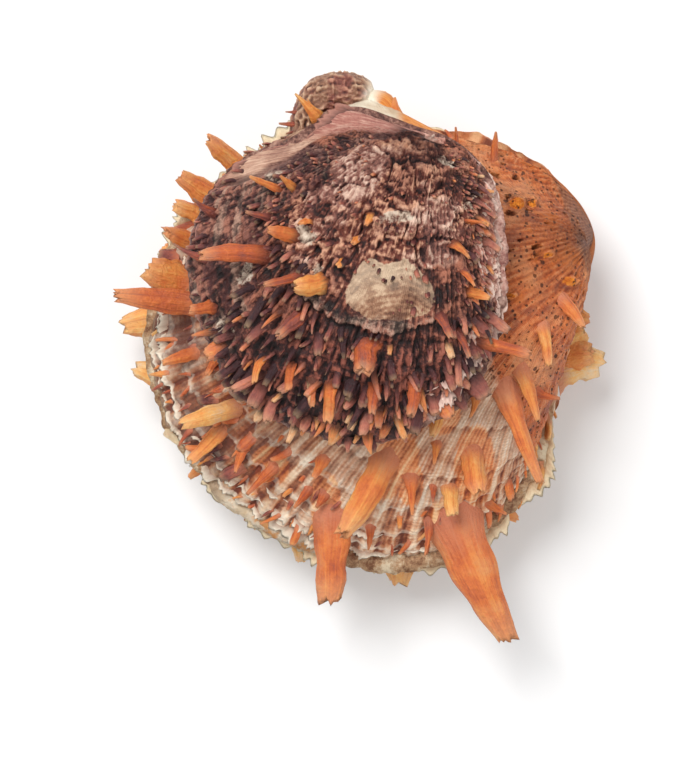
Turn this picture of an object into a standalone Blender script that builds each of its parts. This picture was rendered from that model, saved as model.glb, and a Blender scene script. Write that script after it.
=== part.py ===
"""Two spiny oysters grown together, lying as found: a large pale one, and a small dark one on its back.

Each oyster is two valves, and each valve is one thick shell with its ribs and spines fused to it. The
cluster stands at z = 0 on the flat scar where the large lower valve was once cemented to rock.
Seen from above, +X is right and +Y is towards the small oyster's hinge. Sizes are in millimetres, and
become metres only when a mesh is made.

A valve grows as a real one does: its rim, drawn smaller and turned about the hinge, back to the beak.
"around" runs once round the rim from the hinge, 0 to 1, and "age" from 0 at the beak to 1 at the rim.
"""

import math
from collections import namedtuple

import bmesh
import bpy
import numpy as np
from mathutils import Matrix, Vector

MM = 0.001

# Driving sizes
LARGE_RIM_HEIGHT = 36.0      # where the large oyster's two valves meet, above the table
SMALL_RIM_HEIGHT = 82.0      # where the small oyster's two valves meet, at its hinge
SMALL_HINGE = (24.2, 77.8)   # where that height is measured, in plan
SMALL_FALL = (0.08, 0.10)    # how the small oyster's rim slopes, down towards its far side and its left
GAP = 0.35                   # kept between pieces that touch
CLEARANCE = 0.455            # how far the seat of the cemented valve is cut clear of the valve under it
SETTLE = (-5.0, -6.0)        # brings the middle of the whole cluster over the origin

# Fineness of the meshes
COLUMNS = 40                 # round the rim, two to a rib
OUTER_ROWS = 11              # beak to rim
INNER_ROWS = 4               # rim to the inside of the beak
YOUNGEST = 0.07              # age of the first row; what is younger closes to a point
RIM_SAMPLES = 720
SPINE_SIDES = 6
BEAK_SIDES = 9
FOOT_SAMPLES = (240, 90)     # places round and along a valve that are tried for a named spine's foot

# How a valve grows
COIL_EASE = 0.6              # below 1, the curl opens out early
HINGE_INSET = 2.5            # how far the hollow keeps off the hinge, in wall thicknesses
INNER_BEAK = 0.3             # how much of the beak's shift the hollow follows
INNERMOST = 0.2              # age of the last full row of the hollow
RIB_EASE = 0.7               # below 1, the ribs rise early
RIB_FADE = 0.05              # share of the rim over which the ribs rise beside the bare hinge side
CLEARANCE_DROP = 5.0         # how far the cemented valve's seat is cut below the other valve's rim

# How spines are shaped: as shares of their width, or in millimetres
SPINE_FLATNESS = 0.42
THINNEST_SPINE = 2.0
THICKEST_SPINE = 5.0
SHARPEST_TIP = 0.1
SUNK_BACK = 1.5
SUNK_DOWN = 0.4              # of the spine's thickness
UPPER_FOOT_AGES = (0.12, 0.97)
LOWER_FOOT_AGES = (0.90, 0.97)
AGE_SPREAD = 0.015
LEAN_SPREAD = (0.45, 0.75)
LENGTH_SPREAD = (0.75, 1.25)
WIDTH_SPREAD = (0.85, 1.2)
BLUNT_SPREAD = (0.15, 0.7)

Valve = namedtuple("Valve", "name rim bearing height fall side coil beak wall hollow rib_height bare color")
Spine = namedtuple("Spine", "x y tip_x tip_y rise wide blunt")

# Rims in plan, anticlockwise from the middle of the hinge
LARGE_UPPER_RIM = [
    (81.8, 47.2), (78.0, 57.5), (70.0, 65.5), (59.5, 72.3), (40.0, 79.5), (14.0, 82.0), (-12.0, 78.5),
    (-34.0, 68.5), (-50.0, 53.5), (-60.5, 36.0), (-65.5, 14.0), (-62.5, -8.0), (-53.0, -24.5),
    (-36.0, -40.5), (-15.0, -52.5), (8.0, -58.0), (30.0, -56.0), (48.0, -44.0), (60.5, -25.5),
    (64.5, 0.0), (67.8, 21.5), (74.8, 34.8),
]
LARGE_LOWER_RIM = [
    (82.5, 46.8), (78.3, 58.0), (70.0, 66.5), (59.5, 73.8), (40.0, 81.2), (13.0, 83.8), (-14.0, 80.5),
    (-37.0, 70.5), (-54.0, 54.5), (-64.5, 36.0), (-68.0, 14.0), (-63.8, -8.5), (-54.8, -25.5),
    (-39.0, -42.8), (-18.5, -55.5), (8.0, -62.5), (31.5, -60.5), (50.0, -47.0), (62.8, -27.5),
    (68.5, -1.0), (75.0, 20.5), (80.0, 34.5),
]
SMALL_UPPER_RIM = [
    (24.2, 77.8), (15.5, 80.6), (7.2, 83.3), (-1.1, 85.6), (-8.5, 80.5), (-17.0, 75.5), (-28.0, 72.5),
    (-38.5, 66.0), (-46.5, 56.5), (-50.8, 42.0), (-50.3, 28.0), (-45.0, 11.0), (-34.0, -4.5),
    (-20.6, -13.4), (-6.0, -18.3), (8.0, -19.3), (22.0, -14.0), (34.5, -5.5), (42.0, 7.0),
    (45.3, 22.0), (45.6, 38.0), (44.0, 54.0), (39.8, 65.6), (33.0, 73.8),
]
SMALL_LOWER_RIM = [
    (21.0, 80.5), (13.0, 83.6), (3.0, 86.8), (-6.5, 85.5), (-13.5, 79.5), (-22.0, 75.8), (-30.5, 72.2),
    (-39.5, 65.5), (-46.8, 56.0), (-50.6, 42.0), (-49.8, 28.0), (-44.6, 11.5), (-33.6, -4.0),
    (-20.4, -13.0), (-6.0, -18.0), (8.4, -19.4), (23.0, -14.8), (36.5, -7.0), (44.6, 6.0),
    (48.4, 22.0), (49.4, 40.0), (47.4, 56.5), (41.4, 68.6), (32.0, 76.6),
]

LARGE_UPPER = Valve(
    name="large_upper_valve", rim=LARGE_UPPER_RIM, bearing=201.7, height=LARGE_RIM_HEIGHT + GAP / 2,
    fall=(0.0, 0.0), side=1, coil=1.35, beak=(-4.0, -2.0, 9.0), wall=3.6, hollow=1.12,
    rib_height=2.6, bare=0.05, color=(0.72, 0.50, 0.38),
)
LARGE_LOWER = Valve(
    name="large_lower_valve", rim=LARGE_LOWER_RIM, bearing=201.7, height=LARGE_RIM_HEIGHT - GAP / 2,
    fall=(0.0, 0.0), side=-1, coil=1.95, beak=(-6.0, -2.0, -14.0), wall=4.2, hollow=1.15,
    rib_height=2.6, bare=0.05, color=(0.80, 0.72, 0.60),
)
SMALL_UPPER = Valve(
    name="small_upper_valve", rim=SMALL_UPPER_RIM, bearing=250.8, height=SMALL_RIM_HEIGHT + GAP / 2,
    fall=SMALL_FALL, side=1, coil=1.35, beak=(-0.5, -2.0, 4.0), wall=2.8, hollow=1.05,
    rib_height=2.0, bare=0.12, color=(0.36, 0.22, 0.22),
)
SMALL_LOWER = Valve(
    name="small_lower_valve", rim=SMALL_LOWER_RIM, bearing=250.8, height=SMALL_RIM_HEIGHT - GAP / 2,
    fall=SMALL_FALL, side=-1, coil=1.75, beak=(-14.0, 9.0, -7.0), wall=3.0, hollow=0.42,
    rib_height=1.0, bare=0.12, color=(0.45, 0.30, 0.24),
)

# Spines that show from a step away: foot, tip, rise of the tip over the foot, width, bluntness
LARGE_UPPER_SPINES = [
    Spine(33.5, -43.5, 52.6, -86.2, -5, 18.0, 0.48),
    Spine(-7.3, -43.0, -6.7, -72.8, -4, 12.0, 0.88),
    Spine(13.2, -23.3, -2.2, -49.6, 6, 9.6, 0.80),
    Spine(51.0, 0.0, 61.4, -33.0, 4, 8.5, 0.30),
    Spine(56.2, 5.0, 60.7, -13.1, 4, 5.8, 0.35),
    Spine(40.8, -22.0, 42.1, -36.2, 5, 8.5, 0.80),
    Spine(33.8, -35.0, 33.8, -43.9, 4, 6.0, 0.70),
    Spine(20.3, -30.4, 20.3, -43.9, 6, 4.2, 0.15),
    Spine(6.8, -47.7, 6.2, -56.1, 3, 3.2, 0.20),
    Spine(26.1, -46.0, 24.8, -58.0, 2, 3.2, 0.20),
    Spine(63.0, 18.0, 64.3, 4.9, 3, 5.8, 0.50),
    Spine(69.0, 28.0, 75.8, 17.1, 2, 6.0, 0.45),
    Spine(60.5, -4.1, 68.4, -6.0, 2, 4.2, 0.25),
    Spine(46.0, -41.0, 52.2, -44.5, 1, 4.0, 0.25),
    Spine(35.7, 76.0, 35.0, 83.5, 8, 3.6, 0.10),
    Spine(48.8, 73.5, 48.5, 82.2, 8, 4.6, 0.10),
    Spine(29.3, -9.6, 27.3, -19.0, 3, 5.0, 0.40),
    Spine(28.5, -20.0, 27.3, -27.3, 3, 3.4, 0.20),
    Spine(41.0, -4.8, 38.6, -12.1, 3, 3.4, 0.20),
    Spine(-36.2, -9.2, -54.2, -14.3, 8, 6.4, 0.90),
    Spine(-41.3, -14.6, -52.3, -26.5, 3, 5.1, 0.80),
    Spine(-34.3, -22.0, -37.5, -30.4, 4, 3.9, 0.30),
    Spine(-24.0, -28.5, -33.6, -37.5, 4, 3.9, 0.35),
    Spine(-8.6, -24.6, -11.8, -31.7, 3, 4.5, 0.40),
    Spine(-13.1, -36.2, -18.2, -41.9, 3, 3.6, 0.30),
    Spine(-43.3, 7.5, -46.5, 1.7, 3, 3.9, 0.50),
    Spine(-50.3, 9.5, -61.2, 5.6, 4, 4.6, 0.60),
    Spine(-46.4, 24.2, -75.8, 27.6, 8, 9.0, 0.75),
    Spine(-54.8, 35.1, -64.5, 39.6, 6, 7.1, 0.70),
    Spine(-50.6, 46.0, -58.7, 47.9, 8, 5.1, 0.50),
    Spine(-42.6, 61.0, -53.8, 66.8, 6, 7.7, 0.65),
    Spine(-32.8, 68.5, -46.6, 79.6, 8, 8.2, 0.75),
    Spine(-24.3, 71.5, -29.8, 77.8, 6, 3.2, 0.20),
]
LARGE_LOWER_SPINES = [
    Spine(-60.0, 20.3, -76.3, 18.6, -3, 8.0, 0.75),
    Spine(-60.5, 35.0, -66.8, 37.5, -3, 8.0, 0.80),
    Spine(-61.2, 1.0, -72.5, 3.8, -4, 6.5, 0.85),
    Spine(-51.5, 54.0, -58.6, 59.2, -3, 7.0, 0.60),
    Spine(-48.5, -27.0, -54.5, -33.0, -3, 5.0, 0.40),
    Spine(-29.0, -44.0, -33.0, -50.0, -3, 5.0, 0.70),
    Spine(-17.0, -52.0, -16.8, -61.8, -5, 6.6, 0.60),
    Spine(16.0, -57.0, 17.0, -68.5, -4, 11.5, 0.90),
    Spine(50.0, -42.0, 57.0, -47.5, -3, 5.0, 0.60),
    Spine(63.0, 6.5, 85.0, 5.2, -3, 14.0, 0.90),
    Spine(67.0, 14.5, 79.5, 15.5, -2, 9.0, 0.75),
    Spine(70.0, 23.0, 82.5, 21.5, -3, 9.0, 0.35),
    Spine(61.0, -9.0, 68.5, -11.5, -3, 7.0, 0.60),
]
SMALL_UPPER_SPINES = [
    Spine(-24.4, 38.5, -46.2, 38.5, 8, 5.4, 0.85),
    Spine(-16.6, 44.6, -25.1, 46.4, 6, 4.8, 0.60),
    Spine(-7.5, 30.0, -16.6, 28.8, 6, 6.6, 0.85),
    Spine(-13.6, 20.4, -22.0, 13.7, 5, 4.8, 0.75),
    Spine(-14.8, 32.5, -26.3, 29.4, 4, 3.2, 0.60),
    Spine(4.0, 11.9, 4.0, 2.8, 7, 8.4, 0.75),
    Spine(40.5, 11.3, 56.6, 7.7, 4, 4.6, 0.70),
    Spine(36.7, 27.6, 43.3, 25.2, 5, 3.6, 0.60),
    Spine(36.3, 49.4, 42.1, 48.2, 5, 3.4, 0.30),
    Spine(32.4, 42.1, 36.7, 37.3, 5, 3.6, 0.30),
    Spine(35.4, 33.7, 38.5, 28.8, 4, 3.2, 0.30),
    Spine(34.2, 15.5, 37.3, 7.0, 5, 3.6, 0.50),
    Spine(28.2, 20.4, 31.2, 13.1, 5, 3.4, 0.60),
    Spine(22.1, -1.4, 19.1, -11.1, 6, 5.0, 0.80),
    Spine(8.8, -1.4, 7.0, -10.5, 6, 4.4, 0.60),
    Spine(-6.9, -1.4, -6.9, -12.9, 6, 4.4, 0.80),
    Spine(-28.1, 7.0, -29.9, -0.8, 5, 3.6, 0.70),
    Spine(-18.8, 4.6, -19.2, -3.2, 6, 3.9, 0.80),
    Spine(-21.4, 60.0, -31.1, 63.3, 6, 3.2, 0.30),
    Spine(-43.2, 52.8, -49.5, 57.6, 4, 3.2, 0.20),
    Spine(-45.0, 38.0, -55.9, 43.3, 2, 3.0, 0.20),
    Spine(-43.0, 23.4, -50.5, 22.2, 4, 4.1, 0.80),
]

# Rows of lesser spines along the ribs: first and last rib as shares of the rim, ages, length, width
LARGE_UPPER_ROWS = [(0.34, 0.62, (0.90, 0.96), 6.5, 3.4), (0.64, 0.88, (0.92,), 5.5, 3.2)]
LARGE_LOWER_ROWS = [(0.20, 0.84, (0.84, 0.92), 5.5, 6.0)]
SMALL_UPPER_ROWS = [(0.30, 0.86, (0.80, 0.94), 6.5, 3.2), (0.40, 0.78, (0.62,), 5.0, 2.8)]

# The worn beak of the small lower valve, hooked behind its white hinge plate, and its thin right cheek
HOOK_PATH = [
    (-14.0, 71.0, 66.0), (-12.4, 83.4, 68.5), (-7.6, 91.4, 70.0), (0.8, 92.0, 70.0), (7.5, 89.8, 69.0),
]
HOOK_RADII = [6.0, 7.2, 7.6, 7.4, 5.2]
HOOK_SPINES = [
    ((-9.5, 84.0, 74.5), (-16.6, 89.4, 80.5), 4.4, 0.10),
    ((-18.0, 82.0, 70.5), (-22.8, 82.4, 70.5), 3.4, 0.30),
    ((-16.5, 76.5, 68.5), (-22.5, 76.2, 69.0), 3.4, 0.30),
]
CHEEK_PATH = [(6.0, 89.5, 71.0), (10.6, 89.5, 72.5), (14.0, 85.5, 73.0), (17.0, 79.0, 73.5)]
CHEEK_RADII = [3.6, 3.2, 2.8, 2.6]


def smooth_step(low, high, value):
    t = np.clip((value - low) / (high - low), 0.0, 1.0)
    return t * t * (3.0 - 2.0 * t)


def smooth_loop(points):
    """Points evenly spread along the closed smooth curve through the given ones."""
    p = np.array(points, float)
    before, after, beyond = np.roll(p, 1, 0), np.roll(p, -1, 0), np.roll(p, -2, 0)
    t = np.linspace(0.0, 1.0, 16, endpoint=False)[:, None, None]
    curve = 0.5 * (
        2 * p
        + (after - before) * t
        + (2 * before - 5 * p + 4 * after - beyond) * t**2
        + (3 * p - before - 3 * after + beyond) * t**3
    )
    curve = curve.transpose(1, 0, 2).reshape(-1, 2)
    closed = np.vstack([curve, curve[:1]])
    walked = np.concatenate([[0.0], np.cumsum(np.linalg.norm(np.diff(closed, axis=0), axis=1))])
    wanted = np.linspace(0.0, walked[-1], RIM_SAMPLES, endpoint=False)
    return np.column_stack([np.interp(wanted, walked, closed[:, 0]), np.interp(wanted, walked, closed[:, 1])])


def rim_at(loop, around):
    place = (around % 1.0) * RIM_SAMPLES
    low = np.floor(place).astype(int) % RIM_SAMPLES
    share = (place - np.floor(place))[:, None]
    return loop[low] * (1 - share) + loop[(low + 1) % RIM_SAMPLES] * share


def directions(valve):
    """Plan directions from the hinge to the far rim, and along the hinge."""
    bearing = math.radians(valve.bearing)
    return np.array([math.cos(bearing), math.sin(bearing)]), np.array([math.sin(bearing), -math.cos(bearing)])


def rim_level(valve, plan):
    out, hinge = directions(valve)
    return valve.height - (plan - SMALL_HINGE) @ (valve.fall[0] * out + valve.fall[1] * hinge)


def grown(valve, loop, around, age, coil, inset=0.0):
    """The surface that the rim leaves as it grows. With an inset it is the valve's inside."""
    out, hinge = directions(valve)
    foot = loop[0] + out * (HINGE_INSET * inset - 1.0)
    beak = np.array(valve.beak) * (INNER_BEAK if inset else 1.0)
    rim = rim_at(loop, around)
    spoke = loop.mean(axis=0) - rim
    rim = rim + spoke / np.linalg.norm(spoke, axis=1, keepdims=True) * inset
    across, along = (rim - foot) @ hinge, (rim - foot) @ out
    turn = coil * (1.0 - age**COIL_EASE)
    x, y = age * across, age * along * np.cos(turn)
    plan = foot + x[:, None] * hinge + y[:, None] * out + (1.0 - age)[:, None] * beak[:2]
    dome = valve.side * age * np.maximum(along, 0.0) * np.sin(turn)
    return np.column_stack([plan, rim_level(valve, plan) + dome + (1.0 - age) * beak[2]])


def skin(valve, loop, around, age, extra=0.0):
    """The ribbed outside, and its outward normals. At the rim the ribs widen the lip but keep it flat."""
    step = 0.002
    base = grown(valve, loop, around, age, valve.coil)
    along = base - grown(valve, loop, around, np.maximum(age - step, 0.0), valve.coil)
    across = grown(valve, loop, around + step, age, valve.coil) - base
    normal = np.cross(across, along) * -valve.side
    normal /= np.linalg.norm(normal, axis=1, keepdims=True) + 1e-12
    off_hinge = smooth_step(valve.bare, valve.bare + RIB_FADE, np.minimum(around % 1.0, 1.0 - around % 1.0))
    wave = 0.5 + 0.5 * np.cos(math.pi * COLUMNS * around)
    height = valve.rib_height * wave * off_hinge * np.maximum(age, 0.0) ** RIB_EASE + extra
    shifted = base + normal * height[:, None]
    shifted[:, 2] = np.where(age > 0.999, base[:, 2], shifted[:, 2])
    return shifted, normal


def wrapped_sheet(rows, place):
    """A grid of quads, each point sent to its place, with its seam and both its poles welded shut."""
    mesh = bmesh.new()
    bmesh.ops.create_grid(mesh, x_segments=COLUMNS, y_segments=rows - 1, size=1.0)
    column = np.array([round((v.co.x + 1) / 2 * COLUMNS) % COLUMNS for v in mesh.verts])
    row = np.array([round((v.co.y + 1) / 2 * (rows - 1)) for v in mesh.verts])
    for vert, point in zip(mesh.verts, place(column / COLUMNS, row)):
        vert.co = Vector(point) * MM
    bmesh.ops.remove_doubles(mesh, verts=mesh.verts, dist=2e-6)
    bmesh.ops.recalc_face_normals(mesh, faces=mesh.faces)
    return mesh


def valve_mesh(valve):
    """A thick bowl: out from the beak to the rim, over the lip, and back along the inside."""
    loop = smooth_loop(valve.rim)
    outer_ages = np.concatenate([[0.0], np.linspace(YOUNGEST, 1.0, OUTER_ROWS)])
    inner_ages = np.concatenate([np.linspace(1.0, INNERMOST, INNER_ROWS), [0.0]])

    def place(around, row):
        outside = row < len(outer_ages)
        outer, _ = skin(valve, loop, around, outer_ages[np.where(outside, row, 0)])
        inner_age = inner_ages[np.where(outside, 0, row - len(outer_ages))]
        inner = grown(valve, loop, around, inner_age, valve.hollow, inset=valve.wall)
        return np.where(outside[:, None], outer, inner)

    return wrapped_sheet(len(outer_ages) + len(inner_ages), place)


def clearance_mesh(valve):
    """The space that a valve fills, hollow and all, with the gap round it."""
    loop = smooth_loop(valve.rim)
    ages = np.concatenate([[0.0], np.linspace(YOUNGEST, 1.0, OUTER_ROWS)])
    floor = [*loop.mean(axis=0), valve.height - CLEARANCE_DROP]

    def place(around, row):
        outer, _ = skin(valve, loop, around, ages[np.minimum(row, len(ages) - 1)], extra=CLEARANCE)
        return np.where((row < len(ages))[:, None], outer, floor)

    return wrapped_sheet(len(ages) + 1, place)


def spine_thickness(wide):
    return min(max(THINNEST_SPINE, SPINE_FLATNESS * wide), THICKEST_SPINE)


def add_spine(mesh, foot, tip, normal, wide, blunt):
    """A tapering spine, flattened along the shell, with its foot sunk into the wall."""
    foot, tip = np.array(foot), np.array(tip)
    thick = spine_thickness(wide)
    start = foot - (tip - foot) / np.linalg.norm(tip - foot) * SUNK_BACK - normal * SUNK_DOWN * thick
    reach = np.linalg.norm(tip - start)
    axis = (tip - start) / reach
    flat = np.cross(normal, axis)
    flat /= np.linalg.norm(flat)
    columns = (flat * wide / 2, np.cross(axis, flat) * thick / 2, axis * reach, (start + tip) / 2)
    frame = Matrix.Identity(4)
    for i, column in enumerate(columns):
        for j in range(3):
            frame[j][i] = column[j] * MM
    cone = bmesh.ops.create_cone(
        mesh, cap_ends=True, segments=SPINE_SIDES, radius1=1.0, radius2=max(blunt, SHARPEST_TIP), depth=1.0
    )
    bmesh.ops.transform(mesh, matrix=frame, verts=cone["verts"])


def on_own_side(valve, point, wide):
    """The point, moved if need be so that a spine there stays clear of the other valve."""
    clear = rim_level(valve, point[:2]) + valve.side * (spine_thickness(wide) + GAP)
    return np.array([point[0], point[1], valve.side * max(valve.side * point[2], valve.side * clear)])


def add_named_spines(mesh, valve, spines):
    """Spines that stand where they are named, each on the nearest point of the valve's outside."""
    loop = smooth_loop(valve.rim)
    ages = UPPER_FOOT_AGES if valve.side > 0 else LOWER_FOOT_AGES
    columns, rows = FOOT_SAMPLES
    around, age = np.meshgrid(np.linspace(0.0, 1.0, columns, endpoint=False), np.linspace(*ages, rows))
    points, normals = skin(valve, loop, around.ravel(), age.ravel())
    for spine in spines:
        at = int(np.argmin(np.hypot(points[:, 0] - spine.x, points[:, 1] - spine.y)))
        foot = on_own_side(valve, points[at], spine.wide)
        tip = on_own_side(valve, np.array([spine.tip_x, spine.tip_y, foot[2] + spine.rise]), spine.wide)
        facing = normals[at] if valve.side > 0 else np.array([0.0, 0.0, -1.0])
        add_spine(mesh, foot, tip, facing, spine.wide, spine.blunt)


def add_spine_rows(mesh, valve, rows, seed):
    """Lesser spines along every second rib, leaning out from the shell towards the rim."""
    chance = np.random.default_rng(seed)
    loop = smooth_loop(valve.rim)
    rib_count = COLUMNS // 2
    for first, last, ages, length, wide in rows:
        for row, middle_age in enumerate(ages):
            for rib in range(math.ceil(first * rib_count) + row % 2, math.floor(last * rib_count) + 1, 2):
                around = np.array([rib / rib_count])
                age = np.array([middle_age + chance.uniform(-AGE_SPREAD, AGE_SPREAD)])
                foot, normal = (found[0] for found in skin(valve, loop, around, age))
                older = skin(valve, loop, around, age + 0.03)[0][0]
                onward = (older - foot) / np.linalg.norm(older - foot)
                lean = onward + normal * chance.uniform(*LEAN_SPREAD)
                tip = foot + lean / np.linalg.norm(lean) * length * chance.uniform(*LENGTH_SPREAD)
                breadth = wide * chance.uniform(*WIDTH_SPREAD)
                tip = on_own_side(valve, tip, breadth)
                add_spine(mesh, foot, tip, normal, breadth, chance.uniform(*BLUNT_SPREAD))


def add_tube(mesh, path, radii):
    """A round-sectioned lump of growth carried along a bent path, closed at both ends."""
    points = [Vector(p) * MM for p in path]
    face, last = None, Matrix.Identity(4)
    for i, (point, radius) in enumerate(zip(points, radii)):
        ahead = (points[min(i + 1, len(points) - 1)] - points[max(i - 1, 0)]).normalized()
        level = ahead.cross(Vector((0, 0, 1))).normalized()
        frame = Matrix((level, ahead.cross(level), ahead)).transposed().to_4x4() @ Matrix.Scale(radius * MM, 4)
        frame.translation = point
        if face is None:
            ring = bmesh.ops.create_circle(mesh, cap_ends=True, segments=BEAK_SIDES, radius=1.0)["verts"]
            face = ring[0].link_faces[0]
        else:
            grown_out = bmesh.ops.extrude_face_region(mesh, geom=[face])["geom"]
            if i > 1:
                bmesh.ops.delete(mesh, geom=[face], context="FACES_ONLY")
            face = next(g for g in grown_out if isinstance(g, bmesh.types.BMFace))
        bmesh.ops.transform(mesh, matrix=frame @ last.inverted(), verts=face.verts)
        last = frame


def make_object(name, mesh):
    bmesh.ops.translate(mesh, verts=mesh.verts, vec=Vector((*SETTLE, 0.0)) * MM)
    data = bpy.data.meshes.new(name)
    mesh.to_mesh(data)
    mesh.free()
    made = bpy.data.objects.new(name, data)
    bpy.context.scene.collection.objects.link(made)
    return made


def shell_material(valve):
    material = bpy.data.materials.new(valve.name)
    material.use_nodes = True
    shader = material.node_tree.nodes["Principled BSDF"]
    shader.inputs["Base Color"].default_value = (*valve.color, 1.0)
    shader.inputs["Roughness"].default_value = 0.6
    shader.inputs["Metallic"].default_value = 0.0
    return material


def combine(target, mesh, name, operation):
    """Joins the mesh to the valve, or cuts it away, as a live modifier with a hidden helper."""
    bmesh.ops.recalc_face_normals(mesh, faces=mesh.faces)
    other = make_object(name, mesh)
    other.hide_render = True
    other.display_type = "WIRE"
    modifier = target.modifiers.new(name, "BOOLEAN")
    modifier.operation = operation
    modifier.solver = "EXACT"
    modifier.use_self = True
    modifier.object = other


def cut_flat(mesh):
    """Cuts off what reaches below the table, and closes the cut with one flat face."""
    geometry = mesh.verts[:] + mesh.edges[:] + mesh.faces[:]
    cut = bmesh.ops.bisect_plane(mesh, geom=geometry, plane_co=(0, 0, 0), plane_no=(0, 0, -1), clear_outer=True)
    edges = [g for g in cut["geom_cut"] if isinstance(g, bmesh.types.BMEdge)]
    bmesh.ops.contextual_create(mesh, geom=edges)


def build_valve(valve, named, rows, seed):
    mesh = valve_mesh(valve)
    if valve is LARGE_LOWER:
        cut_flat(mesh)
    shell = make_object(valve.name, mesh)
    shell.data.materials.append(shell_material(valve))
    shell.data.shade_smooth()
    shell.data.set_sharp_from_angle(angle=math.radians(50))
    growths = bmesh.new()
    add_named_spines(growths, valve, named)
    add_spine_rows(growths, valve, rows, seed)
    if valve is SMALL_LOWER:
        add_tube(growths, HOOK_PATH, HOOK_RADII)
        add_tube(growths, CHEEK_PATH, CHEEK_RADII)
        for foot, tip, wide, blunt in HOOK_SPINES:
            add_spine(growths, foot, tip, np.array([0.0, 0.0, 1.0]), wide, blunt)
    combine(shell, growths, valve.name + "_growths", "UNION")
    return shell


def main():
    for old in list(bpy.data.objects):
        bpy.data.objects.remove(old)
    build_valve(LARGE_UPPER, LARGE_UPPER_SPINES, LARGE_UPPER_ROWS, seed=11)
    build_valve(LARGE_LOWER, LARGE_LOWER_SPINES, LARGE_LOWER_ROWS, seed=12)
    build_valve(SMALL_UPPER, SMALL_UPPER_SPINES, SMALL_UPPER_ROWS, seed=13)
    cemented = build_valve(SMALL_LOWER, [], [], seed=14)
    combine(cemented, clearance_mesh(LARGE_UPPER), "large_upper_clearance", "DIFFERENCE")


main()
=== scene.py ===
"""Two spiny oysters grown together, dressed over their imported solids.

Every valve is drawn again at full detail by the same growth rule that made its solid: the rim, drawn
smaller and turned about the hinge, back to the beak. "around" runs once round the rim from the hinge,
0 to 1, and "age" from 0 at the beak to 1 at the rim. Sizes are in millimetres until a mesh is made.
"""

import math
from collections import namedtuple

import bmesh
import bpy
import numpy as np
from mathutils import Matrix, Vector


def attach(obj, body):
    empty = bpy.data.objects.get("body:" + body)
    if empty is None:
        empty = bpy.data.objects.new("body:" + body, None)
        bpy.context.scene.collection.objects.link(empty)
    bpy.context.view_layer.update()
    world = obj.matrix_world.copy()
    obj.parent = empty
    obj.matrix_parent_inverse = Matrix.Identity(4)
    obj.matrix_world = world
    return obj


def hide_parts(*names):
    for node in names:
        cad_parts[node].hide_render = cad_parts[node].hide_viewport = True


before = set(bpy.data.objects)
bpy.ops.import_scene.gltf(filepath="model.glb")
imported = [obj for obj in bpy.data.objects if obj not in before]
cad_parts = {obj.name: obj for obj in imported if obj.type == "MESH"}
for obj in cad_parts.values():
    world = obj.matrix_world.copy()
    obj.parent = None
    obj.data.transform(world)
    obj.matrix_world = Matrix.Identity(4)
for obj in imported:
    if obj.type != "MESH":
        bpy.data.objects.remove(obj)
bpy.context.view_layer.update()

MM = 0.001
UP = np.array([0.0, 0.0, 1.0])

# Sizes shared with the solids. A bearing is the way that a valve grows from its hinge, in degrees
LARGE_RIM_HEIGHT = 36.0
LARGE_BEARING = 201.7
LARGE_FALL = (0.0, 0.0)
SMALL_RIM_HEIGHT = 82.0
SMALL_BEARING = 250.8
SMALL_FALL = (0.08, 0.10)    # how steeply the small oyster's rim drops, away from its hinge and along it
SMALL_HINGE = (24.2, 77.8)
GAP = 0.35                   # left open between an oyster's two valves
SETTLE = (-5.0, -6.0)        # moves the finished cluster over the middle of the frame
RIM_SAMPLES = 1440
CURVE_STEPS = 24             # points along each stretch of a rim, before it is spread evenly

# The photograph's view: straight down, over the middle of the picture
CAMERA_HEIGHT = 850.0
PIXEL_SIZE = 0.33            # millimetres that a pixel covers at PIXEL_DEPTH below the camera
PIXEL_DEPTH = 800.0
FRAME_SIDE = 760
SENSOR = 36.0

# A valve bulges up where side is 1 and down where it is -1. Coil and hollow say how far, in radians, its
# outside and its inside turn over on the way back to the beak. Columns and rows are its grid.
Valve = namedtuple("Valve", "rim bearing height fall side coil beak wall hollow columns rows")
# Tint is a place along the spines' colours, and curl is how deep the gutter of a spine is
Spine = namedtuple("Spine", "x y tip_x tip_y rise wide blunt tint curl", defaults=(0.5, 0.5))

# The four rims in plan, from the hinge round
LARGE_UPPER_RIM = [
    (81.8, 47.2), (78.0, 57.5), (70.0, 65.5), (59.5, 72.3), (40.0, 79.5), (14.0, 82.0), (-12.0, 78.5),
    (-34.0, 68.5), (-50.0, 53.5), (-60.5, 36.0), (-65.5, 14.0), (-62.5, -8.0), (-53.0, -24.5),
    (-36.0, -40.5), (-15.0, -52.5), (8.0, -58.0), (30.0, -56.0), (48.0, -44.0), (60.5, -25.5),
    (64.5, 0.0), (67.8, 21.5), (74.8, 34.8),
]
LARGE_LOWER_RIM = [
    (82.5, 46.8), (78.3, 58.0), (70.0, 66.5), (59.5, 73.8), (40.0, 81.2), (13.0, 83.8), (-14.0, 80.5),
    (-37.0, 70.5), (-54.0, 54.5), (-64.5, 36.0), (-68.0, 14.0), (-63.8, -8.5), (-54.8, -25.5),
    (-39.0, -42.8), (-18.5, -55.5), (8.0, -62.5), (31.5, -60.5), (50.0, -47.0), (62.8, -27.5),
    (68.5, -1.0), (75.0, 20.5), (80.0, 34.5),
]
SMALL_UPPER_RIM = [
    (24.2, 77.8), (15.5, 80.6), (7.2, 83.3), (-1.1, 85.6), (-8.5, 80.5), (-17.0, 75.5), (-28.0, 72.5),
    (-38.5, 66.0), (-46.5, 56.5), (-50.8, 42.0), (-50.3, 28.0), (-45.0, 11.0), (-34.0, -4.5),
    (-20.6, -13.4), (-6.0, -18.3), (8.0, -19.3), (22.0, -14.0), (34.5, -5.5), (42.0, 7.0),
    (45.3, 22.0), (45.6, 38.0), (44.0, 54.0), (39.8, 65.6), (33.0, 73.8),
]
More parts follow.
